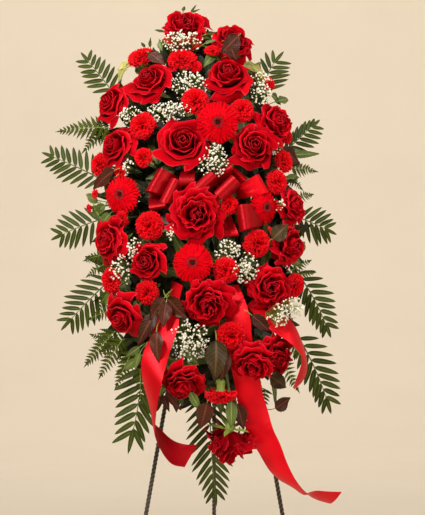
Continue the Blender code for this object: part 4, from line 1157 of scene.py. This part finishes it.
def gerbera_parts(place, radius, facing, seed):
    """Rays in four whorls, a dark eye of spiral florets, a ring of filaments, cup and stem.

    A ray's half width follows a flat-topped arch of v with a rounded tip; its two grooves run along
    it; it lifts from the disc and droops at the tip."""
    rng = np.random.default_rng(seed)
    centre = spray_points(place)
    ahead = facing_vector(facing)
    axes = head_axes(ahead)
    counts = [whorl[0] for whorl in GERBERA_WHORLS]
    n = sum(counts)
    length, height = (np.repeat([whorl[i] for whorl in GERBERA_WHORLS], counts) for i in (1, 2))
    length = column(length * (1.05 + rng.uniform(-0.05, 0.03, n)))
    height = column(height + rng.uniform(-0.015, 0.015, n))
    turn = np.concatenate([(np.arange(count) + shift) / count
                           for count, _, _, shift in GERBERA_WHORLS])
    turn = column(turn * FULL_TURN + rng.uniform(-0.03, 0.03, n))
    u = np.linspace(-1, 1, 5)[None, :, None]
    v = np.linspace(0, 1, 8)[None, None, :]
    start = 0.12
    r = start + (length - start) * v * (1 - 0.035 * u ** 2)
    half = 0.070 * np.sin(math.pi * (0.12 + 0.80 * v) ** 1.1) ** 0.6 + 0.008
    z = (height + 0.10 * v * (1 - v) * 2.2 - 0.07 * v ** 3 - 0.014 * np.cos(FULL_TURN * u)
         + 0.045 * u ** 2 * (1 - 0.5 * v) + column(rng.uniform(-0.05, 0.05, n)) * v ** 2)
    across = -u * half
    points = np.stack(np.broadcast_arrays(
        r * np.cos(turn) - across * np.sin(turn), r * np.sin(turn) + across * np.cos(turn), z), -1)
    parts = [skin(points @ axes * radius + centre, 0.0004, rng.random(n), "gerbera",
                  np.repeat([0.0, 0.3, 0.6, 1.0], counts))]

    k = np.arange(EYE_FLORETS)
    reach = 0.105 * np.sqrt((k + 0.5) / EYE_FLORETS)
    dome = polar(reach, k * GOLDEN_ANGLE, 0.14 - 2.4 * reach ** 2)
    bead = ((-0.9, 0.0), (-0.5, 0.8), (0.4, 0.7), (1.0, 0.0))
    parts.append(lathes(dome @ axes * radius + centre, np.repeat(axes[None], EYE_FLORETS, 0),
                        0.0115 * radius, bead, 6, rng.random(EYE_FLORETS), "eye"))
    cushion = ((-0.20, 0.0), (-0.16, 0.12), (0.02, 0.135), (0.08, 0.10), (0.10, 0.0))
    parts.append(lathes([centre], axes[None], radius, cushion, 18, 0.2, "eye"))
    angle = np.arange(FILAMENTS) * GOLDEN_ANGLE + rng.uniform(-0.05, 0.05, FILAMENTS)
    inner = 0.125 + 0.105 * rng.random(FILAMENTS)
    outer = inner + 0.03 + 0.04 * rng.random(FILAMENTS)
    threads = np.stack((polar(inner, angle, 0.05),
                        polar(outer, angle, 0.20 + 0.05 * rng.random(FILAMENTS))), 1)
    parts.append(tubes(threads @ axes * radius + centre, (0.0006, 0.0005), 4,
                       rng.random(FILAMENTS), "filament"))

    cup = ((-0.36, 0.0), (-0.34, 0.10), (-0.26, 0.26), (-0.14, 0.34), (-0.10, 0.20), (-0.09, 0.0))
    parts.append(lathes([centre], axes[None], radius, cup, 16, 0.6, "calyx", 0.04))
    path = stem_path(centre - ahead * (0.34 * radius), ahead, neck=0.45)
    parts.append(tubes(path[None], 0.0028, 8, 0.6, "stem"))
    return parts


# ---------------------------------------------------------------- baby's breath
FLORET_SPACING = 0.0039
FLORET_DENSITY = 0.76              # share of the places at that spacing that hold a floret


def babys_breath_parts(size):
    """Florets scattered in flat clouds, each a small lobed dome on a thread of a stem.

    Places are drawn in an ellipse, thinner towards its rim: a random number to the power 0.62
    times the half axes. Stems meet at the cloud's foot behind it."""
    rng = np.random.default_rng(71)
    centres, roots, forks = [], [], []
    for place, wide, high in BABYS_BREATH:
        count = max(10, int(FLORET_DENSITY * math.pi * wide * high / FLORET_SPACING ** 2))
        reach, angle = 1.15 * rng.random(count) ** 0.62, rng.uniform(0, ANY_TURN, count)
        middle = spray_points(place)
        outward = mound_normals(middle[None])[0]
        side = unit(np.cross((0, 0, 1.0), outward))
        up = np.cross(outward, side)
        away = (side * (reach * np.cos(angle) * wide / max(abs(side[0]), 0.5))[:, None]
                + up * (reach * np.sin(angle) * high)[:, None])
        dome = 0.014 * (1 - reach[:, None] ** 2) + rng.uniform(-0.006, 0.006, (count, 1))
        centres.append(middle + away + outward * dome)
        foot = middle - outward * 0.055
        roots.append(np.repeat(foot[None], count, 0))
        forks.append(foot + away * 0.45 + outward * 0.022)
    points, roots, forks = (np.concatenate(rows) for rows in (centres, roots, forks))
    n = len(points)
    ahead = unit(mound_normals(points) + rng.uniform(-0.45, 0.45, (n, 3)))
    side = unit(np.cross((0, 0, 1.0), ahead))
    axes = np.stack((side, np.cross(ahead, side), ahead), 1)
    profile = ((-0.55, 0.0), (-0.25, 0.45), (0.10, 1.0), (0.45, 0.62), (0.50, 0.0))
    florets = lathes(points, axes, size / 2 * rng.uniform(0.65, 1.25, n), profile, 10,
                     rng.random(n), "floret", 0.22)
    threads = np.stack((forks, forks * 0.5 + points * 0.5 - ahead * 0.003,
                        points - ahead * 0.0012), 1)
    return [florets, tubes(threads, 0.00035, 3, rng.random(n), "calyx"),
            tubes(np.stack((roots, forks), 1)[::5], 0.0006, 4, 0.4, "calyx")]


# ---------------------------------------------------------------- palm fronds and ferns
def palm_parts(base, tip, longest, pairs, left, right, last, arch, sweep, width, seed):
    """A frond: stem and rachis, and slender leaflets in pairs, the longest near the middle.

    The rachis runs from base to tip and bows by 4 t (1 - t), forward and sideways. Leaflets
    lean less from it the nearer they are to the tip."""
    rng = np.random.default_rng(seed)
    start, end = spray_points(base), spray_points(tip)
    bow = FRONT * arch + ACROSS * sweep

    def along_rachis(t):
        return start + (end - start) * t + bow * (4 * t * (1 - t))

    def heading(t):
        return unit((end - start) + bow * (4 - 8 * t))

    path = stem_path(start, heading(0.0), depth_share=0.25, neck=0.25)
    rachis = along_rachis(np.linspace(0, 1, 14)[1:, None])
    radii = np.concatenate((np.full(len(path), 0.0018), np.linspace(0.0016, 0.0006, 13)))
    stalk = tubes(np.vstack((path, rachis))[None], radii, 6, 0.5, "stem")

    n = 2 * pairs
    share = np.tile((np.arange(pairs) + 0.3) / pairs, 2)
    sign = np.repeat((-1.0, 1.0), pairs)[:, None]
    share = np.clip(share + 0.5 / pairs * np.repeat((0.0, 0.4), pairs), 0, 1)
    foot, run = along_rachis(share[:, None]), heading(share[:, None])
    side = unit(np.cross(run, FRONT))
    length = np.interp(share, (0, 0.2, 0.45, 0.7, 1.0), (0.72, 0.94, 1.0, 0.5 + 0.5 * last, last))
    length = longest * length * rng.uniform(0.94, 1.05, n)
    lean = np.repeat((left, right), pairs) * (1.04 - 0.32 * share)
    angle = np.radians(lean + rng.uniform(-2.5, 2.5, n))[:, None]
    way = (side * sign * np.sin(angle) + run * np.cos(angle)
           - FRONT * rng.uniform(0.05, 0.25, (n, 1)))
    normal = FRONT + side * sign * 0.12 + rng.uniform(-0.14, 0.14, (n, 3))
    leaflets = blades(foot, foot + unit(way) * length[:, None], normal,
                      width * (0.8 + 0.2 * np.sin(math.pi * share)), rng.random(n), "palm",
                      bend=rng.uniform(0.0, 0.12, n), fold=0.20, widest=0.80, along=9, sharp=0.55)
    top = rachis[-1:] + heading(1.0) * longest * 0.8 * last
    return [stalk, leaflets, blades(rachis[-2:-1], top, FRONT[None], width * 0.8, 0.5, "palm",
                                    bend=0.05, fold=0.20, along=7, sharp=0.55)]


def fern_parts():
    """Fern fronds: an arched thin rachis, and pinnae in pairs that shorten towards the tip, each
    cut deeply along its edges. The rachis rises by 4 t (1 - t) over its chord."""
    rng = np.random.default_rng(91)
    cut = {"widest": 0.55, "teeth": 0.5, "across": 3, "thickness": 0.0003}
    parts = []
    for base, tip, longest, pairs in FERNS:
        start, end = spray_points(base), spray_points(tip)
        run = unit(end - start)
        arch = np.linalg.norm(end - start) * 0.10
        up = unit(FRONT - run * (FRONT @ run))

        def along_rachis(t):
            return start + (end - start) * t + up * (arch * 4 * t * (1 - t))

        rachis = along_rachis(np.linspace(0, 1, 9)[:, None])
        inner = start - unit(mound_normals(start[None])[0] + FRONT) * 0.05
        parts.append(tubes(np.vstack((inner, rachis))[None], np.linspace(0.0012, 0.0004, 10), 5,
                           0.5, "calyx"))
        n = 2 * pairs
        share = np.tile((np.arange(pairs) + 0.2) / pairs, 2)
        foot = along_rachis(share[:, None])
        side = unit(np.cross(run, up)) * np.repeat((-1.0, 1.0), pairs)[:, None]
        length = longest * (1 - 0.80 * share) * rng.uniform(0.9, 1.05, n)
        lean = np.radians(56 - 16 * share + rng.uniform(-5, 5, n))[:, None]
        way = side * np.sin(lean) + run * np.cos(lean) - up * rng.uniform(0.0, 0.3, (n, 1))
        normal = up + rng.uniform(-0.3, 0.3, (n, 3))
        parts.append(blades(foot, foot + unit(way) * length[:, None], normal,
                            length * 0.34 + 0.002, rng.random(n), "fern", fold=0.1, along=15,
                            **cut))
        parts.append(blades(rachis[-2:-1], rachis[-1:] + run * 0.012, up[None], 0.006, 0.5,
                            "fern", along=9, **cut))
    return parts


# ---------------------------------------------------------------- leaves
def leaf_parts(rows, finish, seed, teeth):
    """Single toothed leaves with a petiole that runs back into the mound."""
    rng = np.random.default_rng(seed)
    base, tip = (spray_points([row[i] for row in rows]) for i in (0, 1))
    width = np.array([row[2] for row in rows])
    n = len(rows)
    outward = mound_normals((base + tip) / 2)
    normal = outward + rng.uniform(-0.25, 0.25, (n, 3))
    leaves = blades(base, tip, normal, width, rng.random(n), finish, bend=0.16, fold=0.16,
                    widest=0.70, teeth=teeth, across=7, along=17, thickness=0.0005, wave=0.12)
    back = base - unit(tip - base) * 0.018 - outward * 0.030
    path = np.stack((back, base - unit(tip - base) * 0.010 - outward * 0.006, base), 1)
    return [leaves, tubes(path, 0.0010, 5, 0.4, "calyx")]


def filler_parts(count):
    """Dark leaves that close the mound between the flowers, in a near and a back layer: dark
    foliage whose colour is darkened further as painted shade in the gaps.

    Their middles stand on an ellipsoid inside the mound, on a golden-angle spiral in the front
    view, and they point along its surface, and outwards at its rim. The leaves of the back
    layer are larger and stand nearer the foam."""
    rng = np.random.default_rng(17)
    n = 2 * count
    k = np.tile(np.arange(count), 2)
    near = np.repeat((1.0, 0.0), count)
    reach = np.sqrt((k + 0.5) / count) * 0.93
    angle = k * GOLDEN_ANGLE + near
    x = -0.032 + 0.212 * reach * np.cos(angle)
    z = 1.232 + np.where(np.sin(angle) > 0, 0.435, 0.375) * reach * np.sin(angle)
    forward = 0.060 + 0.010 * near + (0.070 + 0.055 * near) * np.sqrt(
        np.maximum(0, 1 - reach ** 2))
    points = spray_points(np.stack((x, z, forward), -1)) + rng.uniform(-0.008, 0.008, (n, 3))
    outward = mound_normals(points)
    random = rng.normal(size=(n, 3))
    along = unit(random - outward * np.sum(random * outward, -1, keepdims=True))
    rim = smooth_step((reach - 0.75) / 0.2)[:, None]
    away = unit(np.stack((points[:, 0] + 0.035, 0 * x, (points[:, 2] - 1.225) * 0.5), -1))
    way = unit(along * (1 - 0.7 * rim) + outward * 0.18 + away * rim * 0.9)
    length = rng.uniform(0.050, 0.072, n) * (1.45 - 0.45 * near)
    base, tip = (points + way * (length * half)[:, None] for half in (-0.5, 0.5))
    # painted shade: the back layer, deeper in the mound, takes the dark finish more often
    tone = rng.random(n) - 0.3 * (1 - near)
    parts = []
    for finish, chosen in (("dark_leaf_and_painted_shade", tone < 0.62), ("green_leaf", tone >= 0.62)):
        some = chosen.sum()
        normal = outward[chosen] + rng.uniform(-0.3, 0.3, (some, 3))
        parts.append(blades(base[chosen], tip[chosen], normal, length[chosen] * 0.52,
                            rng.random(some), finish, bend=0.14, fold=0.14, widest=0.7,
                            teeth=0.08, along=9, thickness=0.0005, wave=0.08))
    core = frame_point(0, FOAM_CENTRE, FOAM_BACK + FOAM_DEPTH * 0.6)
    sideways = np.stack((points[:, 0] * 0.2, 0 * x, 0 * x), -1)
    inside = core + sideways + np.outer((points[:, 2] - core[2]) * 0.40, ALONG)
    middle = (inside + base) / 2 - outward * 0.01
    parts.append(tubes(np.stack((inside, middle, base), 1), 0.0011, 5, 0.3, "stem"))
    return parts


# ---------------------------------------------------------------- ribbon
RIBBON_THICKNESS = 0.0005
RIBBON_CUP = 0.0045                # how far the middle of a tail stands before its edges
PLEAT_DEPTH = 0.0016
KNOT_RADIUS = 0.016


def ribbon_strip(points, middle, edge, other_edge):
    """Satin skin of a grid of points, the length of its middle line, and its area: the steps
    along the middle line times the mean widths at their ends."""
    along = np.linalg.norm(np.diff(middle, axis=0), axis=-1)
    across = np.linalg.norm(edge - other_edge, axis=-1)
    area = float((along * (across[1:] + across[:-1]) / 2).sum())
    return skin(points[None], RIBBON_THICKNESS, 0.5, "satin"), float(along.sum()), area


def tail_parts(name, width, twist):
    """One hanging tail: a strip ruled between two smooth edges, a little cupped across.

    Where its edges look closer than the ribbon is wide, it has turned: one edge stands nearer by
    sqrt(width^2 - seen^2), on the side that the twist's sign gives. Where the edges cross, the
    end has turned over and shows its back."""
    rows = curve_through(TAILS[name], 5)
    seen = np.hypot(rows[:, 0] - rows[:, 2], rows[:, 1] - rows[:, 3])
    deep = np.sqrt(np.maximum(width ** 2 - seen ** 2, 0)) * twist / 2
    left = spray_points(np.stack((rows[:, 0], rows[:, 1], rows[:, 4] + deep), -1))
    right = spray_points(np.stack((rows[:, 2], rows[:, 3], rows[:, 4] - deep), -1))
    middle = (left + right) / 2
    u = np.linspace(-1, 1, 13)[:, None, None]
    look = unit(np.cross(unit(right - left), unit(np.gradient(middle, axis=0))))
    # the first row faces the viewer
    look = look * (-1.0 if look[0, 1] > 0 else 1.0)
    points = middle + (right - left) / 2 * u + look * (RIBBON_CUP * (1 - u ** 2))
    return ribbon_strip(points[::-1], middle, left, right)


def loop_parts(fold_a, fold_b, root_a, root_b, bulge):
    """One bow loop: a band ruled from its root to its outer fold and back.

    The reach from root to fold is (1 - cos t) / 2. The depth is the bulge times sin t raised to
    0.6, so that the bands lie nearly flat and turn sharply at the fold. Towards the root the
    band is pleated by a cosine of u."""
    a, b, c, d = (spray_points(p) for p in (fold_a, fold_b, root_a, root_b))
    t = np.linspace(0.16, FULL_TURN - 0.16, 41)
    t = t + 0.22 * np.sin(2 * t)
    reach = (1 - np.cos(t))[None, :, None] / 2
    u = np.linspace(0, 1, 13)[:, None, None]
    fold = a + (b - a) * u
    root = c + (d - c) * u
    deep = unit(np.cross(unit(b - a), unit((a + b) / 2 - (c + d) / 2)))
    deep = deep * (-1.0 if deep[1] > 0 else 1.0)
    depth = bulge * np.sign(np.sin(t)) * np.abs(np.sin(t)) ** 0.6 * np.sin(t / 2) ** 0.5
    points = root + (fold - root) * reach + deep * depth[None, :, None]
    front = np.sign(math.pi - t)[None, :, None]
    pleat = PLEAT_DEPTH * np.cos(5 * math.pi * u) * (1 - reach) ** 1.5 * front
    points = points + deep * pleat
    return ribbon_strip(points, points[6], points[0], points[-1])


def knot_parts():
    """The gathered knot: a turned pleated roll round the middle of the bow."""
    profile = ((-0.95, 0.0), (-0.9, 0.35), (-0.5, 0.85), (0.0, 1.0), (0.5, 0.85), (0.9, 0.35),
               (0.95, 0.0))
    return lathes([spray_points(KNOT)], head_axes(unit(FRONT))[None], KNOT_RADIUS, profile, 24,
                  0.5, "satin", 0.05)


# ---------------------------------------------------------------- easel
# radius of one wire of a leg and of the helix that its centre line follows
STRAND_RADIUS = ROD_RADIUS * 0.46
COIL_RADIUS = ROD_RADIUS * 0.54


def leg_point(sign, height):
    """A point on a front leg's centre line."""
    return np.array((sign * (FOOT_HALF_SPREAD - LEG_SPLAY * height), height * math.tan(LEAN),
                     height))


def twisted_leg(start, end, lay):
    """Three wires laid round a straight line: each centre line is a helix, one turn every lay, and
    a third of a turn from its neighbours. The tone grows with the distance from the line, which
    paints a highlight along the outside of each wire."""
    length = np.linalg.norm(end - start)
    way = unit(end - start)
    side = unit(np.cross((0, 0, 1.0), way))
    third = np.cross(way, side)
    t = np.linspace(0, 1, int(length / lay * 10))[None, :, None]
    turn = FULL_TURN * (t * length / lay + column(np.arange(3)) / 3)
    paths = start + (end - start) * t + (side * np.cos(turn) + third * np.sin(turn)) * COIL_RADIUS
    made = tubes(paths, STRAND_RADIUS, 8, 0.0, "wire")
    away = made["points"] - start
    away = np.linalg.norm(away - (away @ way)[:, None] * way, axis=-1) / ROD_RADIUS
    # painted highlight: the tone rises on the outermost part of each wire
    made["grown"][:, 0] = smooth_step((away - 0.84) / 0.15)
    return made


# ---------------------------------------------------------------- what a user may change
def length_setting(name, description, default, low, high):
    """A length, shown in the scene's unit."""
    return bpy.props.FloatProperty(name=name, description=description, default=default, min=low,
                                   max=high, unit="LENGTH")


def colour_setting(name, description, code):
    """A colour, shown as seen."""
    return bpy.props.FloatVectorProperty(name=name, description=description, subtype="COLOR",
                                         size=4, default=linear(code), min=0, max=1)


class FuneralSpraySizes(bpy.types.PropertyGroup):
    """Sizes of the soft and fine pieces."""

    ribbon_width: length_setting("Ribbon width", "Flat width of the satin ribbon", 0.052, 0.02,
                                 0.10)
    floret_size: length_setting("Floret size", "Width of a baby's breath floret", 0.0042, 0.002,
                                0.012)
    leaflet_width: length_setting("Leaflet width", "Width of a palm leaflet", 0.0100, 0.003, 0.02)
    wire_lay: length_setting("Wire lay", "Length of one turn of the twisted wire legs", 0.027,
                             0.01, 0.1)
    filler_leaves: bpy.props.IntProperty(
        name="Filler leaves", description="Dark leaves in each layer that closes the mound",
        default=240, min=0, max=400)


class FuneralSprayColours(bpy.types.PropertyGroup):
    """Main colours, shown as seen."""

    rose: colour_setting("Rose", "Middle red of the roses", "#BC0010")
    gerbera: colour_setting("Gerbera", "Red of the gerbera rays", "#D40414")
    carnation: colour_setting("Carnation", "Red of the carnations", "#F00614")
    satin: colour_setting("Ribbon", "Red of the satin ribbon", "#DC081A")
    palm: colour_setting("Palm", "Dark green of the palm fronds", "#1D2707")
    brown_leaf: colour_setting("Red-brown leaf", "Colour of the young rose foliage", "#260B07")


# ---------------------------------------------------------------- operators
class SPRAY_OT_easel(bpy.types.Operator):
    """Twisted wire legs, and the finishes of the bars, sleeve and tips"""

    bl_idname = "spray.easel"
    bl_label = "Easel"

    def execute(self, context):
        lay = context.scene.spray_sizes.wire_lay
        above_foot = TIP_LENGTH * 0.3 + GAP
        for label, sign in (("left", -1), ("right", 1)):
            foot = leg_point(sign, 0.0)
            way = unit(leg_point(sign, 1.0) - foot)
            leg = twisted_leg(foot + way * above_foot, leg_point(sign, LEG_TOP_Z), lay)
            make_piece("twisted_leg_" + label, [leg], replaced=("front_leg_" + label,))
        axis = frame_point(0, HINGE_Z / math.cos(LEAN), -(ROD_RADIUS + GAP + BAR_RADIUS))
        foot = np.array((0.0, REAR_FOOT_Y, 0.0))
        way = unit(axis - foot)
        leg = twisted_leg(foot + way * above_foot, axis - way * (SLEEVE_OUTER + GAP), lay)
        make_piece("twisted_leg_rear", [leg], body="rear_leg", replaced=("rear_leg",))
        finish_nodes("bar", "top_bar", "hinge_bar", "support_bar", "hinge_sleeve")
        finish_nodes("vinyl", "foot_front_left", "foot_front_right", "foot_rear")
        return {"FINISHED"}


class SPRAY_OT_mechanics(bpy.types.Operator):
    """Finishes of the foam block, its tray and the two ties"""

    bl_idname = "spray.mechanics"
    bl_label = "Foam and tray"

    def execute(self, context):
        finish_nodes("foam", "foam_block")
        finish_nodes("tray", "foam_tray")
        finish_nodes("tie", "tie_lower", "tie_upper")
        return {"FINISHED"}


class SPRAY_OT_roses(bpy.types.Operator):
    """Roses, each with its sepals, hip and stem"""

    bl_idname = "spray.roses"
    bl_label = "Roses"

    def execute(self, context):
        make_each(ROSES, "_bloom", rose_parts, 100)
        return {"FINISHED"}


class SPRAY_OT_gerberas(bpy.types.Operator):
    """Gerberas with their dark eyes and bare stems"""

    bl_idname = "spray.gerberas"
    bl_label = "Gerberas"

    def execute(self, context):
        make_each(GERBERAS, "_bloom", gerbera_parts, 200)
        return {"FINISHED"}


class SPRAY_OT_carnations(bpy.types.Operator):
    """Sprays of carnations, and the small side carnations and buds"""

    bl_idname = "spray.carnations"
    bl_label = "Carnations"

    def execute(self, context):
        make_each(CARNATION_SPRAYS, "_blooms", carnation_spray_parts, 300)
        rng = np.random.default_rng(331)
        parts = []
        for place, radius, facing, open_share in SIDE_CARNATIONS:
            head, foot, ahead = carnation_head(place, radius, facing, rng, open_share)
            inner = foot - ahead * 0.03 - mound_normals(foot[None])[0] * 0.02
            parts += head
            parts.append(tubes(np.stack((inner, foot))[None], 0.0016, 6, 0.5, "stem"))
        make_piece("side_carnations", parts)
        return {"FINISHED"}


class SPRAY_OT_babys_breath(bpy.types.Operator):
    """Clouds of baby's breath"""

    bl_idname = "spray.babys_breath"
    bl_label = "Baby's breath"

    def execute(self, context):
        make_piece("babys_breath", babys_breath_parts(context.scene.spray_sizes.floret_size),
                   crease=0)
        return {"FINISHED"}


class SPRAY_OT_palms(bpy.types.Operator):
    """Palm fronds"""

    bl_idname = "spray.palms"
    bl_label = "Palm fronds"

    def execute(self, context):
        width = context.scene.spray_sizes.leaflet_width
        rows = {name: (*row, width * BROAD_FRONDS.get(name, 1.0)) for name, row in PALMS.items()}
        make_each(rows, "_frond", palm_parts, 400)
        return {"FINISHED"}


class SPRAY_OT_ferns(bpy.types.Operator):
    """Fern fronds at the rim of the mound"""

    bl_idname = "spray.ferns"
    bl_label = "Ferns"

    def execute(self, context):
        make_piece("ferns", fern_parts())
        return {"FINISHED"}


class SPRAY_OT_leaves(bpy.types.Operator):
    """Red-brown, bronze, green, thin and pale leaves, and the dark leaves inside the mound, whose
    near-black is partly painted shade
    """

    bl_idname = "spray.leaves"
    bl_label = "Leaves"

    def execute(self, context):
        for name, rows, finish, seed, teeth in (
            ("brown_leaves", BROWN_LEAVES, "brown_leaf", 501, 0.09),
            ("bronze_leaves", BRONZE_LEAVES, "bronze_leaf", 505, 0.09),
            ("green_leaves", GREEN_LEAVES, "green_leaf", 502, 0.09),
            ("thin_leaves", THIN_LEAVES, "palm", 504, 0),
            ("pale_leaves", PALE_LEAVES, "pale_leaf", 503, 0.09),
        ):
            make_piece(name, leaf_parts(rows, finish, seed, teeth))
        make_piece("filler_leaves", filler_parts(context.scene.spray_sizes.filler_leaves))
        return {"FINISHED"}


class SPRAY_OT_ribbon(bpy.types.Operator):
    """The bow and its three satin tails"""

    bl_idname = "spray.ribbon"
    bl_label = "Bow and tails"

    def execute(self, context):
        width = context.scene.spray_sizes.ribbon_width
        parts, lengths, areas = zip(*(loop_parts(*loop) for loop in BOW_LOOPS))
        length, area = sum(lengths), sum(areas)
        bow = make_piece("bow_loops", [*parts, knot_parts()], replaced=("bow",),
                         crease=70)
        for name, twist in (("ribbon_tail_left", -1.0), ("ribbon_tail_long", -1.0),
                            ("ribbon_tail_short", 1.0)):
            made, length, area = tail_parts(name, width, twist)
            tail = make_piece(name + "_satin", [made], replaced=(name,),
                              crease=70)
        return {"FINISHED"}


# soft boxes: place, point they face, width, power, colour
LIGHTS = {
    "key": ((-1.5, -2.4, 3.2), (0, 0, 1.35), 1.2, 112.0, "#FFFAF4"),
    "fill": ((2.8, -2.8, 2.0), (0, 0, 1.2), 2.4, 58.0, "#FFF8F0"),
    "top": ((0.2, -0.6, 3.6), (0, 0, 1.2), 1.6, 30.0, "#FFFDFA"),
    "wall_light_back": ((0.0, 5.3, 7.2), (0.0, 12.5, 2.0), 3.0, 398.0, "#FFFBF8"),
    "wall_light_front": ((0.0, -5.5, 6.5), (0.0, -12.0, 1.5), 3.0, 130.0, "#FFFBF8"),
    "wall_light_left": ((-3.4, 0.0, 6.5), (-12.0, 0.0, 1.5), 3.0, 170.0, "#FFFBF8"),
    "wall_light_right": ((3.4, 0.0, 6.5), (12.0, 0.0, 1.5), 3.0, 170.0, "#FFFBF8"),
}


def add_to_scene(name, data, place=(0, 0, 0)):
    """A new object of this name in the scene, at a place."""
    made = bpy.data.objects.new(name, data)
    made.location = place
    bpy.context.scene.collection.objects.link(made)
    return made


class SPRAY_OT_stage(bpy.types.Operator):
    """Round pale floor that curves up all round, soft studio lights and the camera"""

    bl_idname = "spray.stage"
    bl_label = "Stage"

    def execute(self, context):
        scene = context.scene
        # a level floor, a quarter circle and an upright wall, turned round +Z
        turn = np.linspace(0, math.pi / 2, 17)
        floor, curve, rim, sides = 7.5, 5.0, 9.0, 96
        reach = np.concatenate(((1.0, 4.0), floor + curve * np.sin(turn), (floor + curve,)))
        height = np.concatenate(((0.0, 0.0), curve - curve * np.cos(turn), (rim,)))
        points = polar(reach[:, None], np.arange(sides) / sides * FULL_TURN, height[:, None])
        index, after, _ = ring_walls(len(reach), sides)
        faces = np.stack((index[:-1], index[1:], after[1:], after[:-1]), -1).reshape(-1, 4)
        mesh = bpy.data.meshes.new("studio_sweep")
        mesh.from_pydata(points.reshape(-1, 3).tolist(), [], faces.tolist() + [index[0].tolist()])
        mesh.polygons.foreach_set("use_smooth", np.ones(len(faces) + 1, bool))
        mesh.materials.append(FINISHES["sweep"])
        add_to_scene("studio_sweep", mesh)

        for name, (place, aim, size, power, colour) in LIGHTS.items():
            lamp = bpy.data.lights.new(name, "AREA")
            lamp.shape = "DISK"
            lamp.size = size
            lamp.energy = power
            lamp.color = linear(colour)[:3]
            ray = Vector(aim) - Vector(place)
            add_to_scene(name, lamp, place).rotation_euler = ray.to_track_quat("-Z", "Y").to_euler()
        world = bpy.data.worlds.new("studio")
        world.use_nodes = True
        feed(world.node_tree.nodes["Background"], {"Color": "#FFF9F0", "Strength": 0.215})
        scene.world = world
        scene.view_settings.view_transform = "Standard"

        lens = bpy.data.cameras.new("camera")
        lens.sensor_width = 36.0
        lens.lens = 136.4
        lens.clip_end = 50.0
        scene.camera = add_to_scene("camera", lens,
                                    (-0.0035 + SHIFT[0], -3.93 + SHIFT[1], 1.178))
        scene.camera.rotation_euler = (math.pi / 2, 0, 0)
        return {"FINISHED"}


class SPRAY_PT_panel(bpy.types.Panel):
    """Lists the makers of the spray"""

    bl_idname = "SPRAY_PT_panel"
    bl_label = "Funeral Spray"
    bl_space_type = "VIEW_3D"
    bl_region_type = "UI"
    bl_category = "Funeral Spray"

    def draw(self, context):
        for group in (context.scene.spray_sizes, context.scene.spray_colours):
            for key in group.__annotations__:
                self.layout.prop(group, key)
        for maker in MAKERS:
            self.layout.operator(maker.bl_idname)


MAKERS = (
    SPRAY_OT_stage, SPRAY_OT_easel, SPRAY_OT_mechanics, SPRAY_OT_roses, SPRAY_OT_gerberas,
    SPRAY_OT_carnations, SPRAY_OT_babys_breath, SPRAY_OT_palms, SPRAY_OT_ferns, SPRAY_OT_leaves,
    SPRAY_OT_ribbon,
)
CLASSES = (FuneralSpraySizes, FuneralSprayColours, *MAKERS, SPRAY_PT_panel)


def register():
    """Register every class and hang the settings on the scene."""
    for made in CLASSES:
        bpy.utils.register_class(made)
    bpy.types.Scene.spray_sizes = bpy.props.PointerProperty(type=FuneralSpraySizes)
    bpy.types.Scene.spray_colours = bpy.props.PointerProperty(type=FuneralSprayColours)


def unregister():
    """Undo register."""
    del bpy.types.Scene.spray_sizes
    del bpy.types.Scene.spray_colours
    for made in reversed(CLASSES):
        bpy.utils.unregister_class(made)


def main():
    """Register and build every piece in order."""
    register()
    FINISHES.update(all_materials(bpy.context.scene.spray_colours))
    for maker in MAKERS:
        group, name = maker.bl_idname.split(".")
        getattr(getattr(bpy.ops, group), name)()


if __name__ == "__main__":
    main()
